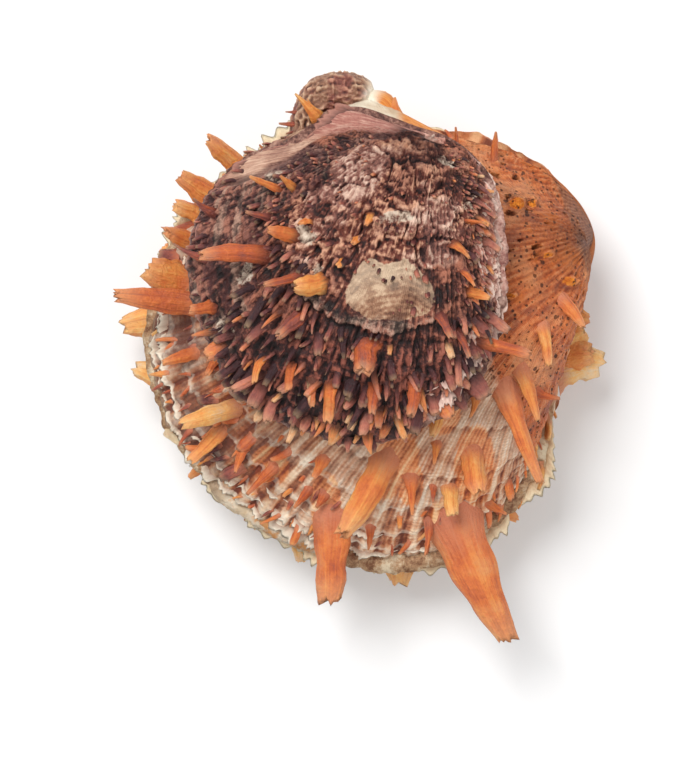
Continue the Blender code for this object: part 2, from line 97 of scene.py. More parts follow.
SMALL_LOWER_RIM = [
    (21.0, 80.5), (13.0, 83.6), (3.0, 86.8), (-6.5, 85.5), (-13.5, 79.5), (-22.0, 75.8), (-30.5, 72.2),
    (-39.5, 65.5), (-46.8, 56.0), (-50.6, 42.0), (-49.8, 28.0), (-44.6, 11.5), (-33.6, -4.0),
    (-20.4, -13.0), (-6.0, -18.0), (8.4, -19.4), (23.0, -14.8), (36.5, -7.0), (44.6, 6.0),
    (48.4, 22.0), (49.4, 40.0), (47.4, 56.5), (41.4, 68.6), (32.0, 76.6),
]
LARGE_UPPER = Valve(
    LARGE_UPPER_RIM, LARGE_BEARING, LARGE_RIM_HEIGHT + GAP / 2, LARGE_FALL, side=1, coil=1.35,
    beak=(-4.0, -2.0, 9.0), wall=3.6, hollow=1.12, columns=720, rows=118,
)
LARGE_LOWER = Valve(
    LARGE_LOWER_RIM, LARGE_BEARING, LARGE_RIM_HEIGHT - GAP / 2, LARGE_FALL, side=-1, coil=1.95,
    beak=(-6.0, -2.0, -14.0), wall=4.2, hollow=1.15, columns=480, rows=80,
)
SMALL_UPPER = Valve(
    SMALL_UPPER_RIM, SMALL_BEARING, SMALL_RIM_HEIGHT + GAP / 2, SMALL_FALL, side=1, coil=1.35,
    beak=(-0.5, -2.0, 4.0), wall=2.8, hollow=1.05, columns=640, rows=136,
)
SMALL_LOWER = Valve(
    SMALL_LOWER_RIM, SMALL_BEARING, SMALL_RIM_HEIGHT - GAP / 2, SMALL_FALL, side=-1, coil=1.75,
    beak=(-14.0, 9.0, -7.0), wall=3.0, hollow=0.42, columns=420, rows=54,
)
INNER_ROWS = 12              # rows of every valve's grid that line its plain inside
ROW_CROWDING = 0.85          # below 1, rows lie closer together towards the rim
INNER_ROW_CROWDING = 0.8
GRAIN_RADIUS = 60.0          # of the drum on which noise that follows the ribs is laid out
GRAIN_LENGTH = 120.0

# Columns and rows of the grids that spines and lumps are bent from, and a frill's columns to a tooth
NAMED_SPINE_GRID = (28, 28)
BEAK_SPINE_GRID = (20, 22)
LESSER_SPINE_GRID = (12, 11)
SCALE_GRID = (8, 7)
BEAK_GRID = (150, 150)
HINGE_EDGE_GRID = (60, 60)
TOOTH_COLUMNS = 7
FRILL_HALF_ROWS = 5
TABLE_GAP = 0.3              # nothing that grew on the shells comes nearer the table than this


# Shaping by numbers: soft steps, noise, and patches in plan


def smooth_step(low, high, value):
    """0 up to low and 1 from high on, with a soft change between."""
    t = np.clip((value - low) / (high - low), 0.0, 1.0)
    return t * t * (3.0 - 2.0 * t)


def unit(vectors, least=0.0):
    """Vectors scaled to a length of one. Where one may be nothing, least keeps the division safe."""
    return vectors / (np.linalg.norm(vectors, axis=1, keepdims=True) + least)


def lattice(x, y, z, seed):
    """A repeatable random number, 0 to 1, for every whole-number place."""
    n = x * 374761393 + y * 668265263 + z * 1440662683 + seed * 974711
    n = (n ^ (n >> 13)) * 1274126177
    n = n ^ (n >> 16)
    return (n & 0xFFFFFF) / float(0xFFFFFF)


def noise(points, size, seed):
    """Smooth noise, -1 to 1, whose lumps are about size apart. The seed picks the pattern."""
    p = points / size
    base = np.floor(p)
    f = p - base
    f = f * f * (3.0 - 2.0 * f)
    x, y, z = base.astype(np.int64).T
    total = 0.0
    for i in (0, 1):
        for j in (0, 1):
            for k in (0, 1):
                weight = np.abs(1 - i - f[:, 0]) * np.abs(1 - j - f[:, 1]) * np.abs(1 - k - f[:, 2])
                total = total + weight * lattice(x + i, y + j, z + k, seed)
    return total * 2.0 - 1.0


def rough(points, size, seed, octaves=4, fade=0.55):
    """Noise of several sizes, each half as large as the last and fainter, -1 to 1."""
    total, reach = 0.0, 0.0
    for octave in range(octaves):
        total = total + noise(points, size / 2**octave, seed + octave) * fade**octave
        reach += fade**octave
    return total / reach


def crumbled(points, size, seed):
    """Sharp-crested lumps, 0 to 1."""
    coarse = 1.0 - np.abs(noise(points, size, seed))
    fine = 1.0 - np.abs(noise(points, size * 0.45, seed + 1))
    return 0.65 * coarse**3 + 0.35 * fine**3


def pit_field(points, spacing, radius, seed, keep=0.8):
    """Round spots scattered over a surface: 1 at the middle of each, 0 outside them."""
    far_off = 9.0
    cell = np.floor(points / spacing).astype(np.int64)
    nearest = np.full(len(points), far_off)
    for i in (-1, 0, 1):
        for j in (-1, 0, 1):
            for k in (-1, 0, 1):
                x, y, z = (cell + (i, j, k)).T
                middle = np.column_stack([
                    x + lattice(x, y, z, seed),
                    y + lattice(x, y, z, seed + 1),
                    z + lattice(x, y, z, seed + 2),
                ]) * spacing
                size = radius * (0.6 + 0.8 * lattice(x, y, z, seed + 3))
                far = np.linalg.norm(points - middle, axis=1) / size
                far = np.where(lattice(x, y, z, seed + 4) < keep, far, far_off)
                nearest = np.minimum(nearest, far)
    return smooth_step(1.0, 0.55, nearest)


def blob(x, y, middle, radii, turn=0.0):
    """1 in the middle of a soft-edged oval in plan, and 0 outside it."""
    c, s = math.cos(math.radians(turn)), math.sin(math.radians(turn))
    dx, dy = x - middle[0], y - middle[1]
    far = np.hypot((dx * c + dy * s) / radii[0], (dy * c - dx * s) / radii[1])
    return 1.0 - smooth_step(0.6, 1.1, far)


def blobs(x, y, spots):
    """1 inside any of the ovals, each given as its middle, radii and turn."""
    total = np.zeros(len(x))
    for middle, radii, turn in spots:
        total = np.maximum(total, blob(x, y, middle, radii, turn))
    return total


# The growth rule


def smooth_loop(points):
    """Points evenly spread along the closed smooth curve through the given ones."""
    p = np.array(points, float)
    before, after, beyond = np.roll(p, 1, 0), np.roll(p, -1, 0), np.roll(p, -2, 0)
    t = np.linspace(0.0, 1.0, CURVE_STEPS, endpoint=False)[:, None, None]
    curve = 0.5 * (
        2 * p
        + (after - before) * t
        + (2 * before - 5 * p + 4 * after - beyond) * t**2
        + (3 * p - before - 3 * after + beyond) * t**3
    )
    curve = curve.transpose(1, 0, 2).reshape(-1, 2)
    closed = np.vstack([curve, curve[:1]])
    walked = np.concatenate([[0.0], np.cumsum(np.linalg.norm(np.diff(closed, axis=0), axis=1))])
    wanted = np.linspace(0.0, walked[-1], RIM_SAMPLES, endpoint=False)
    return np.column_stack([np.interp(wanted, walked, closed[:, 0]), np.interp(wanted, walked, closed[:, 1])])


def rim_at(loop, around):
    """The places on a rim's loop that lie that far round it."""
    place = (around % 1.0) * RIM_SAMPLES
    low = np.floor(place).astype(int) % RIM_SAMPLES
    share = (place - np.floor(place))[:, None]
    return loop[low] * (1 - share) + loop[(low + 1) % RIM_SAMPLES] * share


def directions(valve):
    """The way that a valve grows out from its hinge, and the way along the hinge."""
    bearing = math.radians(valve.bearing)
    return np.array([math.cos(bearing), math.sin(bearing)]), np.array([math.sin(bearing), -math.cos(bearing)])


def rim_level(valve, plan):
    """How high the plane of a valve's rim is above each place in plan."""
    out, hinge = directions(valve)
    return valve.height - (plan - SMALL_HINGE) @ (valve.fall[0] * out + valve.fall[1] * hinge)


LOOPS = {v.rim[0]: smooth_loop(v.rim) for v in (LARGE_UPPER, LARGE_LOWER, SMALL_UPPER, SMALL_LOWER)}


def grown(valve, around, age, inset=0.0):
    """The surface that the rim leaves as it grows. With an inset it is the valve's inside."""
    loop = LOOPS[valve.rim[0]]
    out, hinge = directions(valve)
    foot = loop[0] + out * (2.5 * inset - 1.0)
    beak = np.array(valve.beak) * (0.3 if inset else 1.0)
    coil = valve.hollow if inset else valve.coil
    rim = rim_at(loop, around)
    spoke = loop.mean(axis=0) - rim
    rim = rim + unit(spoke) * inset
    across, along = (rim - foot) @ hinge, (rim - foot) @ out
    turn = coil * (1.0 - age**0.6)
    x, y = age * across, age * along * np.cos(turn)
    plan = foot + x[:, None] * hinge + y[:, None] * out + (1.0 - age)[:, None] * beak[:2]
    dome = valve.side * age * np.maximum(along, 0.0) * np.sin(turn)
    return np.column_stack([plan, rim_level(valve, plan) + dome + (1.0 - age) * beak[2]])


def bare_skin(valve, around, age):
    """The smooth outside, and its outward normals."""
    step = 0.003
    base = grown(valve, around, age)
    along = base - grown(valve, around, np.maximum(age - step, 0.0))
    across = grown(valve, around + step, age) - grown(valve, around - step, age)
    return base, unit(np.cross(across, along) * -valve.side, 1e-12)


def rib_wave(around, count, sharp=1.0):
    """1 on a rib's crest and 0 between ribs; sharp above 1 narrows the crests."""
    return np.abs(np.cos(math.pi * count * around)) ** sharp


def off_hinge(around, start, reach=0.05):
    """0 by the hinge, and 1 from start plus reach round the rim on either side of it."""
    return smooth_step(start, start + reach, np.minimum(around % 1.0, 1.0 - around % 1.0))


def stepped(age, count, shift, steepness=5.0):
    """A shingled profile: each growth layer rises slowly, then drops to the next."""
    place = (age * count + shift) % 1.0
    return place * (1.0 - place**steepness) * 1.3


def ledge(age, start, halt):
    """Rises slowly from start to a halt in growth, then drops back."""
    rise = np.clip((age - start) / (halt - start), 0.0, 1.0) ** 2
    return rise * smooth_step(halt + 0.005, halt - 0.005, age)


def along_ribs(around, age):
    """Places on a drum, round it by the rib and along it by age, for noise that follows the ribs."""
    turn = 2 * math.pi * around
    return np.column_stack([GRAIN_RADIUS * np.cos(turn), GRAIN_RADIUS * np.sin(turn), age * GRAIN_LENGTH])


# Patches of the valves: middle, radii and turn in plan

# The large upper valve's orange knobs, the cavities eaten into its side, and its orange blotches
KNOBS = [
    ((54.6, 57.6), (3.0, 2.4), 0.0), ((59.8, 57.8), (1.5, 1.6), 0.0), ((71.6, 32.0), (2.6, 1.8), -10.0),
    ((39.0, 52.0), (1.8, 1.4), 0.0), ((42.5, 53.0), (1.2, 1.0), 0.0), ((45.0, 43.5), (2.0, 0.9), 20.0),
    ((49.5, 39.0), (1.2, 0.8), 20.0), ((36.0, 40.0), (1.8, 1.4), 30.0), ((64.5, 40.5), (1.6, 1.2), 0.0),
    ((36.5, 29.5), (2.4, 1.0), 40.0), ((52.0, 27.0), (1.4, 1.0), 0.0),
]
CAVES = [
    ((52.2, 54.0), (1.8, 1.0), 0.0), ((52.0, 59.5), (1.2, 1.0), 0.0), ((43.6, 69.6), (3.2, 0.7), -15.0),
    ((47.4, 67.2), (2.4, 1.0), -30.0), ((37.6, 67.3), (1.5, 1.2), 0.0), ((54.6, 66.0), (1.3, 0.8), 0.0),
    ((49.0, 50.0), (0.8, 1.0), 0.0), ((60.5, 43.2), (2.0, 0.8), 30.0), ((42.8, 38.0), (0.9, 1.1), 0.0),
    ((51.5, 41.5), (0.7, 0.7), 0.0),
]
BLUSHES = [
    ((41.0, -28.0), (8.0, 16.0), 0.0), ((20.0, -34.0), (5.0, 9.0), 0.0), ((56.0, -6.0), (6.0, 14.0), 12.0),
    ((14.0, -28.0), (9.0, 14.0), -25.0), ((-8.0, -40.0), (6.0, 12.0), 0.0),
    ((34.0, -48.0), (10.0, 12.0), 20.0), ((-52.0, 30.0), (6.0, 8.0), 0.0),
    ((-40.0, 62.0), (10.0, 8.0), 40.0), ((30.0, -10.0), (7.0, 9.0), 0.0), ((-26.0, -28.0), (7.0, 8.0), 40.0),
]
# The small upper valve's chalky and pinkish patches, and the pale dome that stands on it
PALE_PATCHES = [
    ((-23.0, 64.0), (5.6, 3.2), -15.0), ((37.6, 55.5), (3.2, 3.8), 0.0), ((30.0, 68.5), (6.0, 1.6), -25.0),
    ((-13.0, 45.0), (3.4, 5.6), 30.0), ((-9.0, 33.0), (2.2, 4.6), 25.0), ((-32.0, 34.0), (2.6, 6.0), -25.0),
    ((-40.0, 18.0), (3.4, 6.0), 25.0), ((14.0, 50.0), (7.0, 2.4), 10.0),
]
LILAC_PATCHES = [
    ((46.0, 46.0), (6.5, 22.0), -4.0), ((36.0, -2.5), (8.0, 5.0), 40.0), ((26.5, -9.0), (5.0, 5.0), 20.0),
    ((41.0, 12.0), (4.4, 9.0), -10.0), ((26.0, 76.0), (4.5, 1.8), -30.0),
]
DOME = ((13.0, 27.5), (15.5, 11.0), -6.0)
DOME_RING_PITCH = 1.9

# Where the fine riblets of the large upper valve's bored side fan out from, and the angle between them
FAN_MIDDLE = (101.0, 56.6)
FAN_PITCH = 0.043
RIB_BEND = 0.11              # share of the rim that its ribs swing over, from beak to rim
BEND_MIDDLE = 0.42           # the rib that stays straight
# Ribs round each rim, and layers of growth from beak to rim
LARGE_UPPER_BROAD_RIBS, LARGE_UPPER_RIBS, LARGE_UPPER_LAYERS = 22, 62, 20.0
SMALL_UPPER_RIBS, SMALL_UPPER_LAYERS, SMALL_UPPER_FINE_LAYERS = 96, 18.0, 34.0
LARGE_LOWER_RIBS, LARGE_LOWER_LAYERS = 60, 16.0
SMALL_LOWER_RIBS, SMALL_LOWER_LAYERS = 46, 14.0
# The large upper valve's halts in growth: how old, and how far the shell drops there
HALTS = [(0.60, 0.7), (0.74, 0.8), (0.83, 0.5), (0.905, 0.8), (0.955, 0.8)]


# Relief of each valve's outside, in millimetres, with the masks that its material needs


def bent(around, age):
    """Which rib of the large upper valve passes each place: they bend to meet the margin squarely."""
    return around + RIB_BEND * (1.0 - age) * np.sin(2 * math.pi * (around - BEND_MIDDLE))


def large_upper_relief(around, age, base):
    """Ribs and halts in growth, and to the east fine riblets, bored holes, cavities and knobs."""
    x, y = base[:, 0], base[:, 1]
    rib = bent(around, age)
    flat = base * (1.0, 1.0, 0.0)
    ribbed = off_hinge(around, 0.03, 0.04)
    drift = 0.004 * noise(base, 22.0, 3)
    broad = rib_wave(rib + drift, LARGE_UPPER_BROAD_RIBS, 1.2)
    main = rib_wave(rib + drift, LARGE_UPPER_RIBS, 1.2) * (0.7 + 0.5 * noise(base, 13.0, 6))
    strand = crumbled(along_ribs(rib + drift, age) * (1.0, 1.0, 0.22), 3.6, 4)
    margin = smooth_step(0.62, 0.95, age)
    east = smooth_step(36.0, 58.0, x + 0.45 * y)
    bearing = np.arctan2(y - FAN_MIDDLE[1], FAN_MIDDLE[0] - x) + 0.03 * noise(flat, 17.0, 8)
    bearing += 0.010 * noise(flat, 6.0, 9)
    riblet = 0.5 + 0.5 * np.cos(bearing / FAN_PITCH * 2 * math.pi)
    height = 0.9 * broad * age + 0.9 * rough(base, 26.0, 11) + 0.3 * rough(base, 5.0, 12)
    height += (1.0 - east) * (0.8 * main * (0.3 + 0.7 * margin) + 1.0 * strand * (0.4 + 0.6 * margin))
    fanned = 0.2 * riblet * (0.5 + 0.5 * noise(flat, 7.0, 10))
    height += east * (fanned + 0.25 * rib_wave(around + drift, 30, 1.5))
    height += east * (0.5 * crumbled(flat * (0.6, 1.0, 1.0), 2.8, 14) + 0.5 * rough(flat, 9.0, 17))
    layers = stepped(age + 0.012 * noise(base, 9.0, 5) + 0.014 * main, LARGE_UPPER_LAYERS, 0.0)
    height += layers * (0.15 + 0.35 * margin)
    frill = np.zeros(len(age))
    start = 0.45
    for halt, drop in HALTS:
        wander = halt + 0.02 * noise(base, 14.0, 7) + 0.012 * main + 0.010 * strand
        height += drop * ledge(age, start, wander)
        frill = np.maximum(frill, smooth_step(wander - 0.016, wander - 0.002, age) * (age < wander + 0.003))
        start = halt
    height += 1.4 * (main - 0.4) * smooth_step(0.93, 1.0, age) * (1.0 - east)
    bored = east * smooth_step(0.97, 0.88, age)
    caves = blobs(x, y, CAVES)
    coarse = pit_field(base, 3.6, 0.55, 22, keep=0.6) * bored
    height -= 1.0 * coarse + 1.8 * caves
    height += 2.4 * blobs(x, y, KNOBS) * (0.6 + 0.6 * crumbled(base, 2.0, 33))
    masks = {
        "bored": bored,
        "riblet": riblet * east,
        "rib": main,
        # hole: the pits and cavities, which the material paints dark as shade
        "hole": np.clip(coarse + caves, 0.0, 1.0),
        "frill": frill * margin,
    }
    return height * ribbed, masks


def large_upper_regions(places):
    """Where the large upper valve is orange, brown at its edge, blotched or knobbed, and its lower left,
    which the material paints darker: partly browner shell and partly painted shade.
    """
    x, y = places[:, 0], places[:, 1]
    edge_line = 69.7 + (64.5 - y) * 0.31 + 1.2 * noise(places, 6.0, 31)
    return {
        "east": smooth_step(36.0, 58.0, x + 0.45 * y),
        "edge": smooth_step(edge_line - 3.0, edge_line + 2.5, x) * smooth_step(10.0, 30.0, y),
        "blush": blobs(x, y, BLUSHES),
        # The lower left: the material darkens it, partly as browner shell and partly as painted shade
        "dusky": smooth_step(-10.0, -40.0, x) * smooth_step(-56.0, -24.0, y),
        "spot": blobs(x, y, KNOBS),
    }


def small_upper_relief(around, age, base):
    """Threads and layers of growth, under a cracked crust above and a pale ringed dome in the middle."""
    x, y = base[:, 0], base[:, 1]
    ribbed = np.where(around > 0.5, off_hinge(around, 0.015, 0.03), off_hinge(around, 0.085, 0.05))
    region = small_upper_regions(base)
    west, dome, crust, strip = region["west"], region["dome"], region["crust"], region["strip"]
    drift = 0.007 * noise(base, 16.0, 41)
    ribs = rib_wave(around + drift, SMALL_UPPER_RIBS, 1.0)
    drum = along_ribs(around + drift, age)
    strand = crumbled(drum * (1.0, 1.0, 0.30), 5.2, 54)
    thread = crumbled(drum * (1.0, 1.0, 0.45), 2.6, 56)
    below = smooth_step(28.0, 8.0, y + 0.15 * x) * (1.0 - 0.8 * west)
    calm = (1.0 - 0.85 * dome) * (1.0 - 0.8 * strip)
    lively = calm * (1.0 - 0.55 * west) * (1.0 - 0.7 * crust)
    height = 0.4 * ribs * np.minimum(1.0, 1.6 * age) * (1.0 - 0.8 * strip) * (1.0 - 0.7 * dome)
    height += (1.5 * strand + 0.8 * thread) * lively * np.minimum(1.0, 2.0 * age)
    layers = stepped(age + 0.03 * noise(base, 7.0, 45) + 0.02 * strand, SMALL_UPPER_LAYERS, 0.3)
    height += layers * (0.2 + 0.4 * below) * calm
    fine_layers = stepped(age + 0.010 * noise(base, 9.0, 46), SMALL_UPPER_FINE_LAYERS, 0.0)
    height += 0.45 * fine_layers * west * calm
    rings = region["arc"] / DOME_RING_PITCH * 2 * math.pi + 3.0 * noise(base, 4.0, 67)
    height += dome * (1.0 + 0.04 * np.cos(rings))
    halt = 0.655 + 0.035 * noise(base, 12.0, 47) + 0.012 * strand
    sector = blob(x, y, (2.0, 22.0), (38.0, 28.0), 15.0)
    height += 1.8 * sector * ledge(age, 0.48, halt)
    height -= 1.6 * blob(x, y, (-5.0, 31.0), (6.5, 26.0), -32.0)
    height -= 1.3 * region["furrow"]
    warped = base + np.column_stack([2.4 * noise(base, 6.0, 57), 2.4 * noise(base, 6.0, 58), 0.0 * x])
    clumps = crumbled(warped, 5.6, 51)
    crumbs = crumbled(warped, 1.7, 59)
    flakes = crumbled(along_ribs(around, age) * (1.0, 1.0, 0.55), 8.0, 64)
    crusted = (2.0 * clumps + 1.1 * crumbs + 0.7 * flakes) * crust * calm
    height += crusted + 0.6 * clumps * (1.0 - crust) * calm
    cracks = smooth_step(0.10, 0.0, np.abs(noise(warped, 8.0, 65)))
    cracks += smooth_step(0.07, 0.0, np.abs(noise(warped, 4.6, 66)))
    height -= 1.3 * np.minimum(cracks, 1.2) * calm * (0.35 + 0.65 * crust)
    height += (1.0 * rough(base, 10.0, 52) + 0.3 * noise(base, 1.2, 53)) * (0.3 + 0.7 * calm)
    pits = pit_field(base, 4.6, 0.5, 61, keep=0.4) * np.maximum(crust, 0.35 * dome)
    height -= 0.6 * pits
    masks = {
        # below: the lower part, which the material paints darker, partly as dark shell and partly as painted
        # shade between its spines
        "below": below,
        "ledge": sector * smooth_step(halt - 0.07, halt - 0.01, age) * (age < halt + 0.002),
        "ear": smooth_step(0.15, 0.11, around) * smooth_step(0.2, 0.45, age),
        # hole: the pits, which the material paints dark as shade
        "hole": pits,
    }
    return height * np.maximum(ribbed, 0.12), masks


def small_upper_regions(places):
    """Where the small upper valve's patches are, with edges that wander."""
    x = places[:, 0] + 1.6 * noise(places, 6.0, 62)
    y = places[:, 1] + 1.6 * noise(places, 6.0, 63)
    dome = blob(x, y, *DOME)
    north_west = blob(x, y, (-22.0, 63.0), (24.0, 11.0), 20.0)
    return {
        "west": np.maximum(blob(x, y, (-43.0, 36.0), (17.0, 40.0), -12.0), 0.8 * north_west),
        "dome": dome,
        "arc": np.hypot(x - 14.5, y - 10.0),
        "crust": blob(x, y, (10.0, 51.0), (36.0, 27.0), 20.0) * (1.0 - dome),
        "strip": blob(x, y, (-22.0, 72.5), (26.0, 4.6), 27.0),
        "furrow": blob(x, y, (-12.0, 70.5), (40.0, 2.2), 16.0),
        "pale": blobs(x, y, PALE_PATCHES),
        "lilac": blobs(x, y, LILAC_PATCHES),
    }


def large_lower_relief(around, age, base):
    """Rough layers and ribs, which show as a chalky lip."""
    ribbed = off_hinge(around, 0.03, 0.05)
    drift = 0.005 * noise(base, 20.0, 71)
    ribs = rib_wave(around + drift, LARGE_LOWER_RIBS, 0.9)
    margin = smooth_step(0.75, 0.97, age)
    layers = stepped(age + 0.045 * noise(base, 13.0, 73) + 0.01 * ribs, LARGE_LOWER_LAYERS, 0.0, 7.0)
    height = 0.5 * ribs * age + layers * (0.5 + 1.0 * margin) + 1.4 * rough(base, 20.0, 75)
    height += 0.7 * rough(base, 5.0, 76) + 0.7 * crumbled(along_ribs(around + drift, age), 5.0, 77) * age
    return height * ribbed, {}


def large_lower_regions(places):
    """Where the large lower valve is orange, and where its lip is porcelain white."""
    x, y = places[:, 0], places[:, 1]
    return {
        "warm": smooth_step(50.0, 75.0, x + 0.9 * y),
        "porcelain": blob(x, y, (-26.0, -46.0), (26.0, 22.0)),
    }


def small_lower_relief(around, age, base):
    """Rough layers and ribs, and the white hinge plate at the hinge."""
    ribbed = off_hinge(around, 0.085, 0.05)
    drift = 0.006 * noise(base, 14.0, 81)
    ribs = rib_wave(around + drift, SMALL_LOWER_RIBS, 0.9)
    layers = stepped(age + 0.04 * noise(base, 10.0, 83) + 0.01 * ribs, SMALL_LOWER_LAYERS, 0.0, 7.0)
    height = 0.5 * ribs * age + layers * 0.6 + 1.0 * rough(base, 10.0, 85) + 0.6 * rough(base, 4.0, 86)
    return height * ribbed, {"plate": 1.0 - off_hinge(around, 0.075, 0.02)}


def small_lower_regions(places):
    """Where the small lower valve is orange, and where its rim spreads out pink."""
    x, y = places[:, 0], places[:, 1]
    flange = smooth_step(30.0, 40.0, x) * smooth_step(66.0, 58.0, y) * smooth_step(22.0, 30.0, y)
    return {"orange": smooth_step(14.0, 18.0, x), "lilac": flange}


# Meshes


def sheet_mesh(columns, rows):
    """A flat grid with its seam still open, and the column and row of each of its points."""
    mesh = bmesh.new()
    bmesh.ops.create_grid(mesh, x_segments=columns, y_segments=rows, size=1.0)
    column = np.array([round((v.co.x + 1) / 2 * columns) for v in mesh.verts])
    row = np.array([round((v.co.y + 1) / 2 * rows) for v in mesh.verts])
    return mesh, column, row


def grid_template(name, columns, rows):
    """A flat grid as mesh data that can be joined in again and again."""
    single, column, row = sheet_mesh(columns, rows)
    data = bpy.data.meshes.new(name + "_single")
    single.to_mesh(data)
    single.free()
    return data, column, row


def finish_sheet(mesh, name, places, fields, grain):
    """Puts the grid's points in place, writes its fields, and welds its seam and poles."""
    layers = [mesh.verts.layers.float.new(key) for key in fields]
    grain_layer = mesh.verts.layers.float_vector.new("grain")
    table = [values.tolist() for values in fields.values()]
    for i, vert in enumerate(mesh.verts):
        vert.co = Vector(places[i]) * MM
        vert[grain_layer] = grain[i]
        for layer, values in zip(layers, table):
            vert[layer] = values[i]
    bmesh.ops.remove_doubles(mesh, verts=mesh.verts, dist=1e-6)
    bmesh.ops.recalc_face_normals(mesh, faces=mesh.faces)
    return make_piece(mesh, name)


def make_piece(mesh, name):
    """Moves a finished mesh to its place in the frame and makes an object of it."""
    bmesh.ops.translate(mesh, verts=mesh.verts, vec=Vector((*SETTLE, 0.0)) * MM)
    data = bpy.data.meshes.new(name)
    mesh.to_mesh(data)
    mesh.free()
    data.shade_smooth()
    piece = bpy.data.objects.new(name, data)
    bpy.context.scene.collection.objects.link(piece)
    return piece


def outer_skin(valve, relief, around, age):
    """The finished outside of a valve at any places: points, normals, heights and masks."""
    base, normal = bare_skin(valve, around, age)
    height, masks = relief(around, age, base)
    height = height * smooth_step(0.0, 0.08, age)
    drum = along_ribs(around, np.ones(len(age)))
    ragged = 1.0 * noise(drum, 5.0, 15) + 0.8 * noise(drum, 1.8, 16)
    height += ragged * smooth_step(0.94, 1.0, age) * off_hinge(around, 0.06)
    points = base + normal * height[:, None]
    lip = smooth_step(0.985, 1.0, age)
    points[:, 2] = points[:, 2] * (1 - lip) + base[:, 2] * lip
    return points, normal, height, masks


def crests(height, column, row, reach=3.0):
    """0 in hollows and 1 on crests, from how far each point stands above those about it. The materials darken
    the hollows from it, as painted shade.
    """
    grid = np.zeros((row.max() + 1, column.max() + 1))
    grid[row, column] = height
    mean = grid
    for axis, steps in ((0, 2), (1, 5)):
        mean = sum(np.roll(mean, k, axis) for k in range(-steps, steps + 1)) / (2 * steps + 1)
    return np.clip(0.5 + (grid - mean)[row, column] / reach * 1.6, 0.0, 1.0)


def shell_piece(name, valve, relief, regions, rib=lambda around, age: around):
    """A whole valve: its detailed outside, and its plain inside joined on at the rim."""
    rows = valve.rows + INNER_ROWS
    mesh, column, row = sheet_mesh(valve.columns, rows)
    around = (column % valve.columns) / valve.columns
    outside = row <= valve.rows
    age = np.clip(row / valve.rows, 0.0, 1.0) ** ROW_CROWDING
    points, _, height, masks = outer_skin(valve, relief, around, age)
    inner_age = np.clip((rows - row) / (INNER_ROWS - 1), 0.0, 1.0) ** INNER_ROW_CROWDING
    inside = grown(valve, around, inner_age, inset=valve.wall)
    places = np.where(outside[:, None], points, inside)
    masks = {key: np.where(outside, values, 0.0) for key, values in masks.items()}
    masks.update(regions(places))
    masks["crest"] = crests(height, column, row)
    masks["inside"] = np.where(outside, smooth_step(0.996, 1.0, age), 1.0)
    return finish_sheet(mesh, name, places, masks, along_ribs(rib(around, age), age))


def flat_scar(piece):
    """Cuts off what reaches below the table, and closes the cut with one flat face."""
    mesh = bmesh.new()
    mesh.from_mesh(piece.data)
    geometry = mesh.verts[:] + mesh.edges[:] + mesh.faces[:]
    table = {"plane_co": (0, 0, 0), "plane_no": (0, 0, -1)}
    cut = bmesh.ops.bisect_plane(mesh, geom=geometry, clear_outer=True, **table)
    edges = [g for g in cut["geom_cut"] if isinstance(g, bmesh.types.BMEdge)]
    bmesh.ops.contextual_create(mesh, geom=edges)
    mesh.to_mesh(piece.data)
    mesh.free()


# Spines

SPINE_THICKNESS = 0.34       # of its width
# The oldest and newest shell that a named spine may stand on, and how finely its foot's place is looked for
UPPER_SPINE_AGES = (0.12, 0.985)
LOWER_SPINE_AGES = (0.90, 0.97)
FOOT_SEARCH_GRID = (480, 110)


